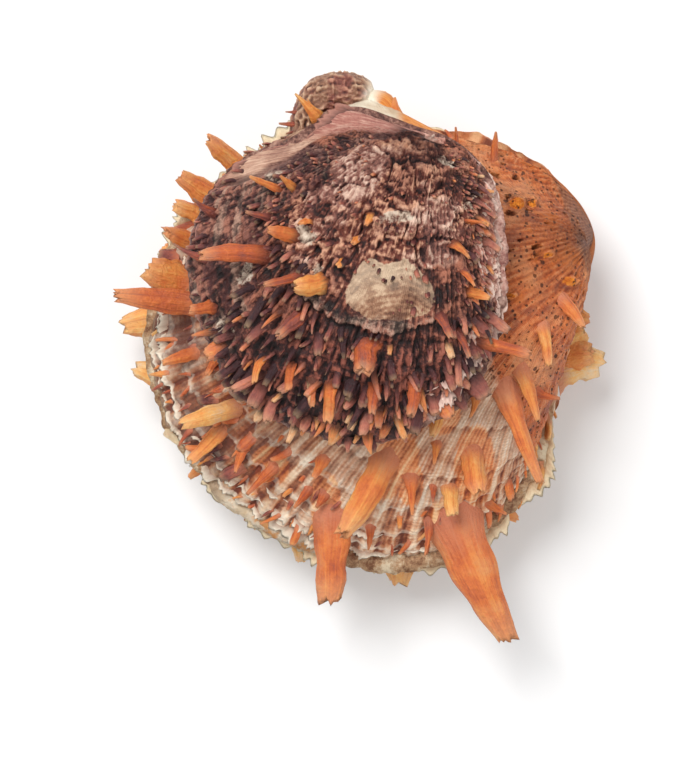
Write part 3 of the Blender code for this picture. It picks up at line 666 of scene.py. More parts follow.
def spine_points(angle, along, foot, tip, normal, wide, blunt, curl, seed):
    """A tapering, guttered, grooved spine that leaves the shell steeply and bends towards its tip."""
    chance = np.random.default_rng(seed)
    closes_at = 0.93
    foot, tip = np.array(foot, float), np.array(tip, float)
    length = np.linalg.norm(tip - foot)
    thick = max(SPINE_THICKNESS * wide, 0.8)
    start = foot - normal * 0.5 * thick - (tip - foot) / length * 0.6
    bow = chance.uniform(0.10, 0.22) * (1.0 if wide < 7.0 else 0.45)
    middle = start + (tip - start) * chance.uniform(0.38, 0.5) + normal * bow * length
    sideways = np.cross(normal, tip - foot)
    sideways /= np.linalg.norm(sideways) + 1e-9
    middle = middle + sideways * chance.uniform(-0.10, 0.10) * length
    v = np.clip(along / closes_at, 0.0, 1.0)
    closing = np.clip((along - closes_at) / 0.07, 0.0, 1.0)
    phase = chance.uniform(0.0, 2 * math.pi, 6)
    ragged = 0.05 * np.cos(angle + phase[0]) + 0.06 * np.cos(4 * angle + phase[1]) + 0.05 * np.cos(9 * angle)
    ragged = blunt * ragged * min(1.0, 1.2 * wide / (length + 1.0) + 0.2)
    reach = v * (1.0 + ragged * v**3) - closing * (0.03 + 0.05 * blunt)
    t = reach[:, None]
    centre = (1 - t) ** 2 * start + 2 * t * (1 - t) * middle + t**2 * tip
    tangent = unit(2 * (1 - t) * (middle - start) + 2 * t * (tip - middle))
    flat = unit(np.cross(normal, tangent), 1e-9)
    lift = np.cross(tangent, flat)
    taper = blunt + (1.0 - blunt) * (1.0 - v**1.2)
    taper = taper * (1.0 - 0.35 * v**6 * blunt) + 0.6 * np.exp(-8.0 * v)
    wobble = 1.0 + 0.08 * np.sin(8.0 * v + phase[2]) + 0.05 * np.sin(19.0 * v + phase[3])
    ridge = 0.5 * np.cos(5 * angle + phase[4] + 1.2 * v) + 0.35 * np.cos(11 * angle + phase[5] - 0.9 * v)
    ridge = ridge * (0.4 + 0.6 * smooth_step(0.0, 0.4, v))
    ring = (v * length / 1.9 + 0.1 * np.cos(angle * 3)) % 1.0
    half = wide / 2 * taper * wobble * (1.0 + 0.07 * ridge + 0.04 * ring) * (1.0 - closing)
    half_thick = thick / 2 * (0.35 + 0.65 * taper) * (1.0 + 0.15 * ridge + 0.05 * ring) * (1.0 - closing)
    x = np.cos(angle) * half
    z = np.sin(angle) * half_thick - curl * 0.6 * x**2 / (wide / 2)
    points = centre + flat * x[:, None] + lift * z[:, None]
    points[:, 2] = np.maximum(points[:, 2], TABLE_GAP)
    return points, np.clip(0.5 + 0.6 * ridge, 0.0, 1.0)


def spine_piece(name, spines, columns, rows):
    """Many spines as one piece. Each spine is (foot, tip, normal, wide, blunt, curl, tint, seed)."""
    data, column, row = grid_template(name, columns, rows)
    angle, along = (column % columns) / columns * 2 * math.pi, row / rows
    joined = bmesh.new()
    for _ in spines:
        joined.from_mesh(data)
    bpy.data.meshes.remove(data)
    places, fields, grain = [], {"tint": [], "reach": [], "crest": []}, []
    for foot, tip, normal, wide, blunt, curl, shade, seed in spines:
        points, ridge = spine_points(angle, along, foot, tip, normal, wide, blunt, curl, seed)
        length = float(np.linalg.norm(np.array(tip) - np.array(foot)))
        places.append(points)
        fields["tint"].append(np.full(len(points), shade))
        fields["reach"].append(along)
        fields["crest"].append(ridge)
        grain.append(np.column_stack([
            wide / 2 * np.cos(angle) + 17.0 * (seed % 97), wide / 2 * np.sin(angle), along * length,
        ]))
    fields = {key: np.concatenate(values) for key, values in fields.items()}
    return finish_sheet(joined, name, np.concatenate(places), fields, np.concatenate(grain))


def named_spines(valve, relief, spines, seed):
    """Spines at named places, each with its foot on the nearest point of the valve's outside."""
    ages = UPPER_SPINE_AGES if valve.side > 0 else LOWER_SPINE_AGES
    columns, rows = FOOT_SEARCH_GRID
    around, age = np.meshgrid(np.linspace(0, 1, columns, endpoint=False), np.linspace(*ages, rows))
    points, normals, _, _ = outer_skin(valve, relief, around.ravel(), age.ravel())
    found = []
    for number, s in enumerate(spines):
        at = int(np.argmin(np.hypot(points[:, 0] - s.x, points[:, 1] - s.y)))
        foot = points[at].copy()
        if valve.side < 0:
            foot[2] = min(foot[2], valve.height - SPINE_THICKNESS * s.wide - 1.0)
        facing = normals[at] if valve.side > 0 else UP
        tip = (s.tip_x, s.tip_y, foot[2] + s.rise)
        found.append((foot, tip, facing, s.wide, s.blunt, s.curl, s.tint, seed + number))
    return found


def spine_rows(valve, relief, rows, seed):
    """Lesser spines in rows: (first, last, count, age, length, width, lean, tint, spread of tint)."""
    chance = np.random.default_rng(seed)
    found = []
    for first, last, count, age, length, wide, lean, tint, spread in rows:
        around = np.linspace(first, last, count) + chance.uniform(-0.4, 0.4, count) * (last - first) / count
        ages = np.clip(age + chance.uniform(-0.03, 0.03, count), 0.05, 0.985)
        feet, normals, _, _ = outer_skin(valve, relief, around, ages)
        onward = unit(bare_skin(valve, around, ages + 0.02)[0] - bare_skin(valve, around, ages - 0.02)[0])
        for foot, normal, ahead in zip(feet, normals, onward):
            swing = np.cross(normal, ahead) * chance.uniform(-0.6, 0.6)
            way = ahead + normal * (lean + chance.uniform(-0.35, 0.4)) + swing
            growth = 0.6 + 1.3 * chance.random() ** 2.2
            tip = foot + way / np.linalg.norm(way) * length * growth * chance.uniform(0.7, 1.2)
            shade = float(np.clip(tint + spread * chance.normal(), 0.0, 1.0))
            blunt = chance.choice([0.12, 0.3, 0.6, 0.9, 1.1])
            width = wide * growth * chance.uniform(0.6, 1.15)
            curl = chance.uniform(0.2, 0.9)
            found.append((foot, tip, normal, width, blunt, curl, shade, int(chance.integers(1, 10**6))))
    return found


# Frills: thin leaves of shell with toothed edges that stand along a growth line


def frill_piece(name, valve, relief, frills, seed):
    """Each frill is (first, last, age, length, lift, teeth). They are joined into one piece."""
    joined = bmesh.new()
    places, reach, grain = [], [], []
    for number, (first, last, age, length, lift, teeth) in enumerate(frills):
        columns = teeth * TOOTH_COLUMNS
        data, column, row = grid_template(name, columns, 2 * FRILL_HALF_ROWS)
        joined.from_mesh(data)
        bpy.data.meshes.remove(data)
        share = column / columns
        around = first + (last - first) * share
        out = 1.0 - np.abs(row / FRILL_HALF_ROWS - 1.0)
        under = np.sign(row / FRILL_HALF_ROWS - 1.0)
        feet, normals, _, _ = outer_skin(valve, relief, around, np.full(len(around), age - 0.006))
        newer = bare_skin(valve, around, np.full(len(around), age + 0.01))[0]
        older = bare_skin(valve, around, np.full(len(around), age - 0.01))[0]
        onward = unit(newer - older)
        key = np.column_stack([share * teeth, np.full(len(share), number * 7.3), np.zeros(len(share))])
        tooth = 0.5 + 0.5 * np.cos(share * teeth * 2 * math.pi + 9.0 * noise(key, 2.2, seed))
        torn = 0.62 + 0.75 * noise(key, 4.7, seed + 1) + 0.35 * noise(key, 0.9, seed + 2)
        size = length * (0.7 + 0.3 * tooth) * np.clip(torn, 0.12, 1.5)
        size = size * np.minimum(1.0, 12.0 * np.minimum(share, 1.0 - share) + 0.05)
        curve = lift * out**1.5 + 0.3 * noise(key, 1.3, seed + 3) * out
        points = feet + onward * (size * out)[:, None] + normals * (size * curve)[:, None]
        points = points - normals * ((0.25 + 0.22 * under) * (1.0 - out))[:, None]
        points[:, 2] = np.maximum(points[:, 2], TABLE_GAP)
        places.append(points)
        reach.append(out)
        grain.append(np.column_stack([around * 400.0, np.full(len(around), 9.0 * number), out * length]))
    fields = {"reach": np.concatenate(reach)}
    return finish_sheet(joined, name, np.concatenate(places), fields, np.concatenate(grain))


# The small lower valve's beak, bent back over the hinge

HOOK_PATH = [
    (-14.0, 71.0, 66.0), (-12.4, 83.4, 68.5), (-7.6, 91.4, 70.0), (0.8, 92.0, 70.0), (7.5, 89.8, 69.0),
]
HOOK_RADII = [5.4, 6.4, 6.9, 6.8, 5.2]
CHEEK_PATH = [(6.0, 89.5, 71.0), (10.6, 89.5, 72.5), (14.0, 85.5, 73.0), (17.0, 79.0, 73.5)]
CHEEK_RADII = [3.6, 3.2, 2.8, 2.6]
HINGE_PLATE = ((8.6, 85.4, 71.6), (7.2, 4.6, 3.0), -35.0)

# The beak's own spines: foot, tip, width, bluntness, tint
BEAK_SPINES = [
    ((-8.6, 82.0, 75.0), (-17.4, 91.0, 80.5), 4.8, 0.12, 0.68),
    ((-11.5, 84.5, 76.0), (-13.4, 89.6, 79.0), 2.4, 0.1, 0.7),
    ((16.2, 80.4, 74.5), (14.4, 90.4, 75.5), 5.4, 0.15, 0.62),
    ((-15.0, 82.4, 70.5), (-22.8, 82.4, 71.5), 2.6, 0.2, 0.25),
    ((-15.0, 85.6, 71.5), (-20.6, 86.0, 72.5), 1.8, 0.2, 0.2),
    ((-16.0, 77.4, 69.0), (-22.5, 76.2, 70.0), 2.4, 0.3, 0.22),
    ((-15.5, 80.0, 70.0), (-20.5, 79.0, 72.0), 1.8, 0.3, 0.2),
    ((-15.4, 74.6, 68.0), (-21.0, 73.4, 69.5), 1.8, 0.3, 0.2),
    ((-6.0, 80.5, 75.0), (-9.6, 84.6, 76.5), 1.6, 0.2, 0.3),
    ((-3.0, 81.0, 75.0), (-6.0, 83.4, 76.5), 1.4, 0.2, 0.25),
]


def along_path(path, share):
    """Places along the smooth open curve through the path's points."""
    p = np.array(path, float)
    p = np.vstack([2 * p[0] - p[1], p, 2 * p[-1] - p[-2]])
    spans = len(path) - 1
    place = np.clip(share, 0.0, 1.0) * spans
    i = np.minimum(place.astype(int), spans - 1)
    t = (place - i)[:, None]
    a, b, c, d = p[i], p[i + 1], p[i + 2], p[i + 3]
    return 0.5 * (2 * b + (c - a) * t + (2 * a - 5 * b + 4 * c - d) * t**2 + (3 * b - a - 3 * c + d) * t**3)


def tube_piece(name, path, radii, columns, rows, relief):
    """A lump of growth along a bent path, rounded off at both ends and roughened by its relief."""
    mesh, column, row = sheet_mesh(columns, rows)
    angle, share = (column % columns) / columns * 2 * math.pi, row / rows
    middle = along_path(path, share)
    ahead = unit(along_path(path, share + 0.02) - along_path(path, share - 0.02))
    side = unit(np.cross(ahead, UP))
    lift = np.cross(side, ahead)
    rounding = np.sqrt(1.0 - (1.0 - np.clip(np.minimum(share, 1.0 - share) / 0.14, 0.0, 1.0)) ** 2)
    radius = np.interp(share, np.linspace(0, 1, len(radii)), radii) * rounding
    facing = side * np.cos(angle)[:, None] + lift * np.sin(angle)[:, None]
    places = middle + facing * radius[:, None]
    height, masks = relief(places, angle, share)
    places = places + facing * (height * rounding)[:, None]
    masks["crest"] = crests(height, column, row, 2.0)
    grain = np.column_stack([8.0 * np.cos(angle), 8.0 * np.sin(angle), share * 40.0])
    return finish_sheet(mesh, name, places, masks, grain)


def hook_relief(places, angle, share):
    """The beak: knobs, lumps and low ridges that wind round it, smoother by the hinge plate."""
    knobs = pit_field(places, 3.6, 1.0, 91, keep=0.4)
    swirl = rib_wave(angle / (2 * math.pi) + 0.25 * share + 0.03 * noise(places, 5.0, 94), 18, 1.2)
    height = 1.3 * rough(places, 6.0, 92) + 0.6 * knobs + 1.1 * crumbled(places, 3.4, 93) + 0.2 * swirl - 0.6
    to_plate = smooth_step(0.80, 0.95, share)
    return height * (1.0 - 0.6 * to_plate), {"plate": to_plate}


def cheek_relief(places, _, share):
    """The edge of the hinge plate: nearly smooth, white inside and orange outside."""
    height = 0.5 * rough(places, 5.0, 95) + 0.25 * rough(places, 1.5, 96)
    outer = smooth_step(-0.2, 0.5, places[:, 0] + 1.15 * places[:, 1] - 111.5 + 1.2 * noise(places, 4.0, 97))
    return height, {"plate": np.ones(len(share)), "orange": outer * smooth_step(0.15, 0.4, share)}


def hinge_plate():
    """The white slope between the beak and the hinge, with the dark ligament set in it."""
    mesh = bmesh.new()
    bmesh.ops.create_icosphere(mesh, subdivisions=4, radius=1.0)
    middle, radii, turn = HINGE_PLATE
    c, s = math.cos(math.radians(turn)), math.sin(math.radians(turn))
    x, y, z = np.array([(v.co.x * radii[0], v.co.y * radii[1], v.co.z * radii[2]) for v in mesh.verts]).T
    places = np.column_stack([x * c - y * s, x * s + y * c, z])
    places = places + middle + np.outer(0.25 * rough(places, 3.0, 98), UP)
    line = np.abs((places[:, 0] - 4.6) - 0.45 * (84.5 - places[:, 1]) + 0.3 * noise(places, 2.0, 88))
    masks = {
        "plate": np.ones(len(places)),
        "orange": smooth_step(113.5, 116.0, places[:, 0] + 1.15 * places[:, 1]),
        "crest": np.full(len(places), 0.6),
        "ligament": smooth_step(0.75, 0.4, line),
    }
    return finish_sheet(mesh, "small_lower_hinge_plate", places, masks, places)


# Materials

SHELL_ROUGHNESS = 0.5
BROWN_SHELL_ROUGHNESS = 0.45
SPINE_ROUGHNESS = 0.42
SHINE = 0.4
SHELL_BUMP, SPINE_BUMP, FRILL_BUMP = 0.0006, 0.0009, 0.0005       # metres
SUBSURFACE_SHARE = 0.06
SUBSURFACE_REACH = (0.003, 0.0015, 0.0008)
# The round borings of the large upper valve's east side: how far apart, and their largest radius, in metres
BORES = (0.0023, 0.0008)
TINY_BORES = (0.0018, 0.0005)
# How many of the finest lines there are, side by side round a shell and from its beak to its rim
LARGE_RIBLETS, SMALL_RIBLETS = 230.0, 300.0
GROWTH_RINGS = 100.0


def link(tree, source, target):
    tree.links.new(source, target)


def new_node(tree, kind, **settings):
    node = tree.nodes.new(kind)
    for key, value in settings.items():
        setattr(node, key, value)
    return node


def fill(tree, socket, value):
    """Links an output to the socket, or sets the socket to a plain number."""
    if isinstance(value, (int, float)):
        socket.default_value = value
    else:
        link(tree, value, socket)


def field(tree, name, output="Fac"):
    return new_node(tree, "ShaderNodeAttribute", attribute_name=name).outputs[output]


def maths(tree, operation, a, b=0.0):
    node = new_node(tree, "ShaderNodeMath", operation=operation)
    fill(tree, node.inputs[0], a)
    fill(tree, node.inputs[1], b)
    return node.outputs[0]


def times(tree, a, b):
    return maths(tree, "MULTIPLY", a, b)


def plus(tree, a, b):
    return maths(tree, "ADD", a, b)


def total(tree, first, *others):
    """The sum of any number of signals."""
    for other in others:
        first = plus(tree, first, other)
    return first


def centred(tree, value, reach):
    """A 0 to 1 signal made to swing reach either way about 0."""
    return times(tree, maths(tree, "SUBTRACT", value, 0.5), 2.0 * reach)


def stretched(tree, vector, scale):
    node = new_node(tree, "ShaderNodeMapping")
    link(tree, vector, node.inputs["Vector"])
    node.inputs["Scale"].default_value = scale
    return node.outputs[0]


def grainy(tree, vector, scale, detail=4.0, roughness=0.55):
    node = new_node(tree, "ShaderNodeTexNoise")
    link(tree, vector, node.inputs["Vector"])
    node.inputs["Scale"].default_value = scale
    node.inputs["Detail"].default_value = detail
    node.inputs["Roughness"].default_value = roughness
    return node.outputs["Fac"]


def remap(tree, value, low, high, new_low=0.0, new_high=1.0):
    node = new_node(tree, "ShaderNodeMapRange", clamp=True)
    link(tree, value, node.inputs["Value"])
    for key, number in zip(("From Min", "From Max", "To Min", "To Max"), (low, high, new_low, new_high)):
        node.inputs[key].default_value = number
    return node.outputs["Result"]


def tone(color):
    """A colour given as it looks on screen, 0 to 255, made linear."""
    return (*[((c / 255 + 0.055) / 1.055) ** 2.4 if c > 10 else c / 255 / 12.92 for c in color], 1.0)


def ramp(tree, value, stops):
    node = new_node(tree, "ShaderNodeValToRGB")
    link(tree, value, node.inputs["Fac"])
    elements = node.color_ramp.elements
    elements[0].position, elements[0].color = stops[0][0], tone(stops[0][1])
    elements[1].position, elements[1].color = stops[-1][0], tone(stops[-1][1])
    for place, color in stops[1:-1]:
        elements.new(place).color = tone(color)
    return node.outputs["Color"]


def shades(tree, signal, dark, middle, light, low=0.18, high=0.82):
    """Dark at the low end of the signal, light at the high end. Where the signal follows the crest mask, the
    dark in the hollows is painted shade, and the light on the crests is partly the shell's paler ridges and
    partly painted light.
    """
    return ramp(tree, signal, [(low, dark), (0.48, middle), (high, light)])


def blend(tree, under, over, share):
    """One colour over another. Either is an output or a colour as it looks on screen."""
    node = new_node(tree, "ShaderNodeMix", data_type="RGBA")
    fill(tree, node.inputs["Factor"], share)
    sockets = {s.name: s for s in node.inputs if s.type == "RGBA"}
    for key, value in (("A", under), ("B", over)):
        if isinstance(value, tuple):
            sockets[key].default_value = tone(value)
        else:
            link(tree, value, sockets[key])
    return next(s for s in node.outputs if s.type == "RGBA")


def layered(tree, color, layers):
    """Lays colours over one another: each layer is its colour, where it shows, and how strongly."""
    for over, where, strength in layers:
        color = blend(tree, color, over, times(tree, where, strength))
    return color


def broken(tree, mask, texture, spread=0.35):
    """A mask whose soft edge is broken up by a texture."""
    return remap(tree, plus(tree, mask, centred(tree, texture, spread)), 0.35, 0.65)


def shell_material(name, roughness):
    """A plain shell finish whose colour and bump are still to be painted on."""
    material = bpy.data.materials.new(name)
    material.use_nodes = True
    tree = material.node_tree
    shader = tree.nodes["Principled BSDF"]
    shader.inputs["Metallic"].default_value = 0.0
    shader.inputs["Roughness"].default_value = roughness
    shader.inputs["Specular IOR Level"].default_value = SHINE
    return material, tree, shader


def paint(tree, shader, color, height, depth=SHELL_BUMP):
    """Gives the shader its colour, and a bump that is depth metres high where its height is 1."""
    link(tree, color, shader.inputs["Base Color"])
    bump = new_node(tree, "ShaderNodeBump")
    bump.inputs["Strength"].default_value = 1.0
    bump.inputs["Distance"].default_value = depth
    link(tree, height, bump.inputs["Height"])
    link(tree, bump.outputs["Normal"], shader.inputs["Normal"])


def riblets(tree, grain, count, wander):
    """Fine regular lines that run from the beak to the rim, 1 on their crests."""
    parts = new_node(tree, "ShaderNodeSeparateXYZ")
    link(tree, grain, parts.inputs[0])
    angle = maths(tree, "ARCTAN2", parts.outputs["Y"], parts.outputs["X"])
    wave = maths(tree, "COSINE", plus(tree, times(tree, angle, count), centred(tree, wander, 3.0)))
    return plus(tree, times(tree, wave, 0.5), 0.5)


def growth_lines(tree, grain, count, wander):
    """Fine regular lines that run round the shell, count of them from beak to rim, 1 on their crests."""
    parts = new_node(tree, "ShaderNodeSeparateXYZ")
    link(tree, grain, parts.inputs[0])
    phase = times(tree, parts.outputs["Z"], count * 2 * math.pi / GRAIN_LENGTH)
    wave = maths(tree, "SINE", plus(tree, phase, centred(tree, wander, 6.0)))
    return plus(tree, times(tree, wave, 0.5), 0.5)


def bore_holes(tree, place, spacing, size):
    """Small round holes of unequal sizes, scattered evenly: 1 inside each."""
    cells = new_node(tree, "ShaderNodeTexVoronoi", voronoi_dimensions="3D")
    link(tree, place, cells.inputs["Vector"])
    cells.inputs["Scale"].default_value = 1.0 / spacing
    chance = new_node(tree, "ShaderNodeSeparateColor")
    link(tree, cells.outputs["Color"], chance.inputs[0])
    limit = times(tree, chance.outputs[0], size / spacing)
    return remap(tree, maths(tree, "SUBTRACT", limit, cells.outputs["Distance"]), -0.02, 0.03)


def textures(tree, streak_scale=(0.9, 0.9, 0.05)):
    """What the materials share: places along the ribs, places in the frame, streaks, patches and specks."""
    grain = field(tree, "grain", "Vector")
    place = new_node(tree, "ShaderNodeTexCoord").outputs["Object"]
    streak = grainy(tree, stretched(tree, grain, streak_scale), 1.0, 3.0)
    patch = grainy(tree, place, 110.0, 4.0, 0.6)
    speck = grainy(tree, place, 850.0, 5.0, 0.68)
    return grain, place, streak, patch, speck


def large_upper_material():
    material, tree, shader = shell_material("orange_shell", SHELL_ROUGHNESS)
    grain, place, streak, patch, speck = textures(tree)
    rays = grainy(tree, stretched(tree, grain, (0.20, 0.20, 0.016)), 1.0, 2.0)
    cloud = grainy(tree, place, 42.0, 3.0)
    lines = riblets(tree, grain, LARGE_RIBLETS, patch)
    rings = growth_lines(tree, grain, GROWTH_RINGS, patch)
    crest, dusky, east = field(tree, "crest"), field(tree, "dusky"), field(tree, "east")

    # The ribbed side: cream ribs, mauve valleys, chalky clouds, rust blotches, and its darker lower left,
    # partly browner shell and partly painted shade. The crest in signal darkens the hollows as painted shade.
    signal = total(tree, crest, centred(tree, speck, 0.20), centred(tree, lines, 0.07))
    cream = shades(tree, signal, (118, 70, 46), (206, 164, 130), (248, 234, 212), 0.26, 0.72)
    mauve = shades(tree, signal, (66, 28, 26), (130, 70, 56), (210, 162, 138), 0.26, 0.74)
    chalk = shades(tree, signal, (160, 112, 84), (226, 190, 158), (250, 236, 214))
    rust = shades(tree, signal, (140, 56, 24), (222, 124, 58), (248, 192, 130), 0.24, 0.76)
    off_rib = times(tree, field(tree, "rib"), -0.35)
    valley = total(tree, off_rib, plus(tree, rays, 0.15), times(tree, dusky, 0.26))
    # hollow is painted shade: dark brown laid where the crest mask is low, in the lower left
    hollow = remap(tree, plus(tree, crest, centred(tree, patch, 1.2)), 0.85, 0.35)
    ribbed = layered(tree, cream, [
        (mauve, broken(tree, valley, streak, 0.16), 0.65),
        (chalk, broken(tree, remap(tree, cloud, 0.56, 0.44), patch, 0.8), 0.48),
        ((140, 84, 72), times(tree, lines, rings), 0.22),
        # This layer is painted shade in the lower left's hollows. The next layer and the last darken the
        # lower left, partly as browner shell and partly as painted shade
        ((78, 40, 30), times(tree, dusky, hollow), 0.85),
        ((118, 70, 50), dusky, 0.42),
        (rust, broken(tree, cloud, streak, 0.3), 0.45),
        (rust, broken(tree, field(tree, "blush"), streak, 0.5), 0.7),
        ((240, 230, 212), broken(tree, field(tree, "frill"), speck, 0.3), 0.30),
        ((104, 58, 44), times(tree, dusky, remap(tree, patch, 0.56, 0.44, 0.1, 0.6)), 1.0),
    ])

    # The bored side: orange, with brighter and browner patches
    riblet = times(tree, field(tree, "riblet"), 0.20)
    # The crest in fine darkens the hollows of the bored side, as painted shade
    fine = total(tree, riblet, times(tree, crest, 0.55), 0.10, centred(tree, speck, 0.34))
    orange = layered(tree, shades(tree, fine, (130, 54, 26), (202, 104, 52), (236, 156, 100)), [
        ((224, 124, 50), remap(tree, patch, 0.53, 0.62), 0.45),
        ((132, 66, 48), remap(tree, patch, 0.45, 0.36), 0.6),
        ((224, 160, 112), remap(tree, cloud, 0.50, 0.60), 0.45),
        ((150, 72, 40), remap(tree, speck, 0.44, 0.36), 0.5),
        ((222, 164, 118), remap(tree, streak, 0.55, 0.68), 0.4),
    ])

    edge = shades(tree, fine, (96, 46, 32), (168, 104, 72), (210, 156, 116))
    glow = ramp(tree, speck, [(0.35, (190, 84, 14)), (0.65, (240, 146, 40))])
    # Painted shade: dark brown laid in the bored holes, pits and cavities
    hole_shade = ramp(tree, patch, [(0.42, (66, 28, 14)), (0.58, (122, 66, 26))])
    lip = blend(tree, (206, 176, 150), (176, 104, 66), east)
    bores = times(tree, bore_holes(tree, place, *BORES), remap(tree, field(tree, "bored"), 0.3, 0.7))
    tiny = times(tree, bore_holes(tree, place, *TINY_BORES), remap(tree, east, 0.2, 0.5))
    holes = maths(tree, "MAXIMUM", maths(tree, "MAXIMUM", bores, tiny), field(tree, "hole"))
    color = layered(tree, ribbed, [
        (orange, broken(tree, east, rays, 0.3), 1.0),
        (edge, broken(tree, field(tree, "edge"), patch, 0.7), 0.85),
        (glow, broken(tree, field(tree, "spot"), speck, 0.3), 1.0),
        (hole_shade, holes, 0.9),
        (lip, field(tree, "inside"), 1.0),
    ])
    height = total(tree, times(tree, lines, 0.3), times(tree, rings, 0.25), times(tree, streak, 0.4), speck)
    paint(tree, shader, color, plus(tree, height, times(tree, holes, -2.0)))
    return material


def small_upper_material():
    material, tree, shader = shell_material("purple_shell", SHELL_ROUGHNESS)
    grain, place, streak, patch, speck = textures(tree, (0.8, 0.8, 0.06))
    lines = riblets(tree, grain, SMALL_RIBLETS, patch)
    bands = grainy(tree, stretched(tree, grain, (0.03, 0.03, 0.22)), 1.0, 2.0)
    cloud = remap(tree, grainy(tree, place, 125.0, 6.0, 0.7), 0.36, 0.64)
    mottle = grainy(tree, place, 60.0, 3.0)
    # The crest in signal darkens the hollows in every shade below, as painted shade
    signal = total(
        tree, times(tree, field(tree, "crest"), 0.7), times(tree, cloud, 0.55), -0.15,
        centred(tree, speck, 0.36), centred(tree, streak, 0.10),
    )
    dark = shades(tree, signal, (28, 11, 10), (82, 39, 30), (172, 108, 84), 0.24, 0.78)
    deep = shades(tree, signal, (20, 7, 7), (62, 27, 24), (156, 88, 70), 0.24, 0.78)
    pinkish = shades(tree, signal, (62, 32, 31), (158, 106, 92), (240, 208, 188))
    crust = layered(tree, shades(tree, signal, (36, 15, 13), (112, 54, 41), (222, 166, 134)), [
        (pinkish, remap(tree, mottle, 0.50, 0.60), 0.8),
        (deep, remap(tree, mottle, 0.46, 0.38), 0.6),
    ])
    grey = shades(tree, signal, (96, 68, 58), (158, 130, 112), (212, 192, 170))
    west = layered(tree, shades(tree, signal, (22, 8, 8), (68, 30, 26), (166, 108, 88), 0.26, 0.76), [
        (grey, remap(tree, bands, 0.54, 0.63), 0.35),
        ((88, 44, 42), remap(tree, bands, 0.50, 0.40), 0.5),
    ])
    along = plus(tree, times(tree, streak, 0.5), times(tree, patch, 0.5))
    strip = ramp(tree, along, [(0.35, (128, 82, 68)), (0.5, (184, 138, 116)), (0.65, (222, 184, 158))])
    arc = field(tree, "arc")
    phase = plus(tree, times(tree, arc, 2 * math.pi / DOME_RING_PITCH), centred(tree, patch, 4.0))
    ringed = times(tree, maths(tree, "COSINE", phase), 0.08)
    arcs = total(tree, ringed, plus(tree, 0.46, centred(tree, cloud, 0.35)), centred(tree, speck, 0.3))
    dome = layered(tree, shades(tree, arcs, (102, 64, 46), (158, 114, 86), (210, 176, 144)), [
        ((226, 206, 178), remap(tree, plus(tree, cloud, arc), 16.0, 24.0), 0.4),
    ])
    pale = shades(tree, signal, (104, 82, 70), (178, 158, 138), (226, 214, 194))
    furrow = shades(tree, signal, (44, 24, 26), (96, 60, 56), (150, 112, 98))
    smooth = plus(tree, times(tree, streak, 0.8), times(tree, speck, 0.2))
    ear = shades(tree, smooth, (124, 64, 58), (178, 118, 104), (228, 190, 170))
    lilac = shades(tree, signal, (142, 80, 70), (220, 160, 140), (250, 222, 204))
    mixed = plus(tree, times(tree, speck, 0.6), times(tree, patch, 0.4))
    rim = ramp(tree, mixed, [(0.4, (92, 50, 46)), (0.5, (150, 102, 88)), (0.6, (206, 162, 142))])
    color = layered(tree, dark, [
        # Darker under the dense lower spines: partly the shell's own dark maroon and partly painted shade
        # between the spines
        (deep, field(tree, "below"), 1.0),
        (crust, broken(tree, field(tree, "crust"), patch, 0.5), 1.0),
        (west, broken(tree, field(tree, "west"), patch, 0.4), 1.0),
        (strip, broken(tree, field(tree, "strip"), patch, 0.35), 1.0),
        (dome, broken(tree, broken(tree, field(tree, "dome"), patch, 0.5), speck, 0.5), 1.0),
        (pale, broken(tree, times(tree, field(tree, "pale"), cloud), speck, 0.6), 0.75),
        (pale, broken(tree, times(tree, field(tree, "ledge"), patch), speck, 0.5), 0.35),
        # Darker in the furrow: painted shade in the groove
        (furrow, field(tree, "furrow"), 0.8),
        (ear, field(tree, "ear"), 1.0),
        (lilac, broken(tree, times(tree, field(tree, "lilac"), 1.3), patch, 0.6), 1.0),
        # Painted shade: dark laid in the pits of the crust and dome
        ((40, 18, 20), field(tree, "hole"), 0.9),
        (rim, field(tree, "inside"), 1.0),
    ])
    height = total(tree, times(tree, lines, 0.2), times(tree, streak, 0.5), times(tree, speck, 1.2))
    paint(tree, shader, color, height)
    return material


def large_lower_material():
    material, tree, shader = shell_material("cream_shell", SHELL_ROUGHNESS)
    _, _, streak, patch, speck = textures(tree, (0.6, 0.6, 0.06))
    warm, glazed = field(tree, "warm"), field(tree, "porcelain")
    # The crest in signal darkens the hollows, as painted shade
    signal = plus(tree, field(tree, "crest"), centred(tree, speck, 0.25))
    base = shades(tree, signal, (132, 98, 72), (198, 174, 146), (230, 218, 198))
    orange = shades(tree, signal, (120, 58, 34), (190, 110, 64), (226, 166, 118))
    mixed = plus(tree, times(tree, patch, 0.6), times(tree, speck, 0.4))
    sandy = ramp(tree, mixed, [(0.40, (124, 80, 52)), (0.5, (190, 150, 112)), (0.6, (230, 210, 178))])
    porcelain = ramp(tree, patch, [(0.35, (206, 180, 146)), (0.6, (236, 224, 204))])
    lip = layered(tree, sandy, [
        (porcelain, glazed, 1.0),
        ((206, 130, 40), times(tree, remap(tree, patch, 0.5, 0.56), glazed), 0.85),
        (orange, warm, 1.0),
    ])
    color = layered(tree, base, [
        (orange, remap(tree, streak, 0.52, 0.68), 0.8),
        (orange, warm, 1.0),
        (lip, field(tree, "inside"), 1.0),
    ])
    paint(tree, shader, color, plus(tree, streak, speck))
    return material


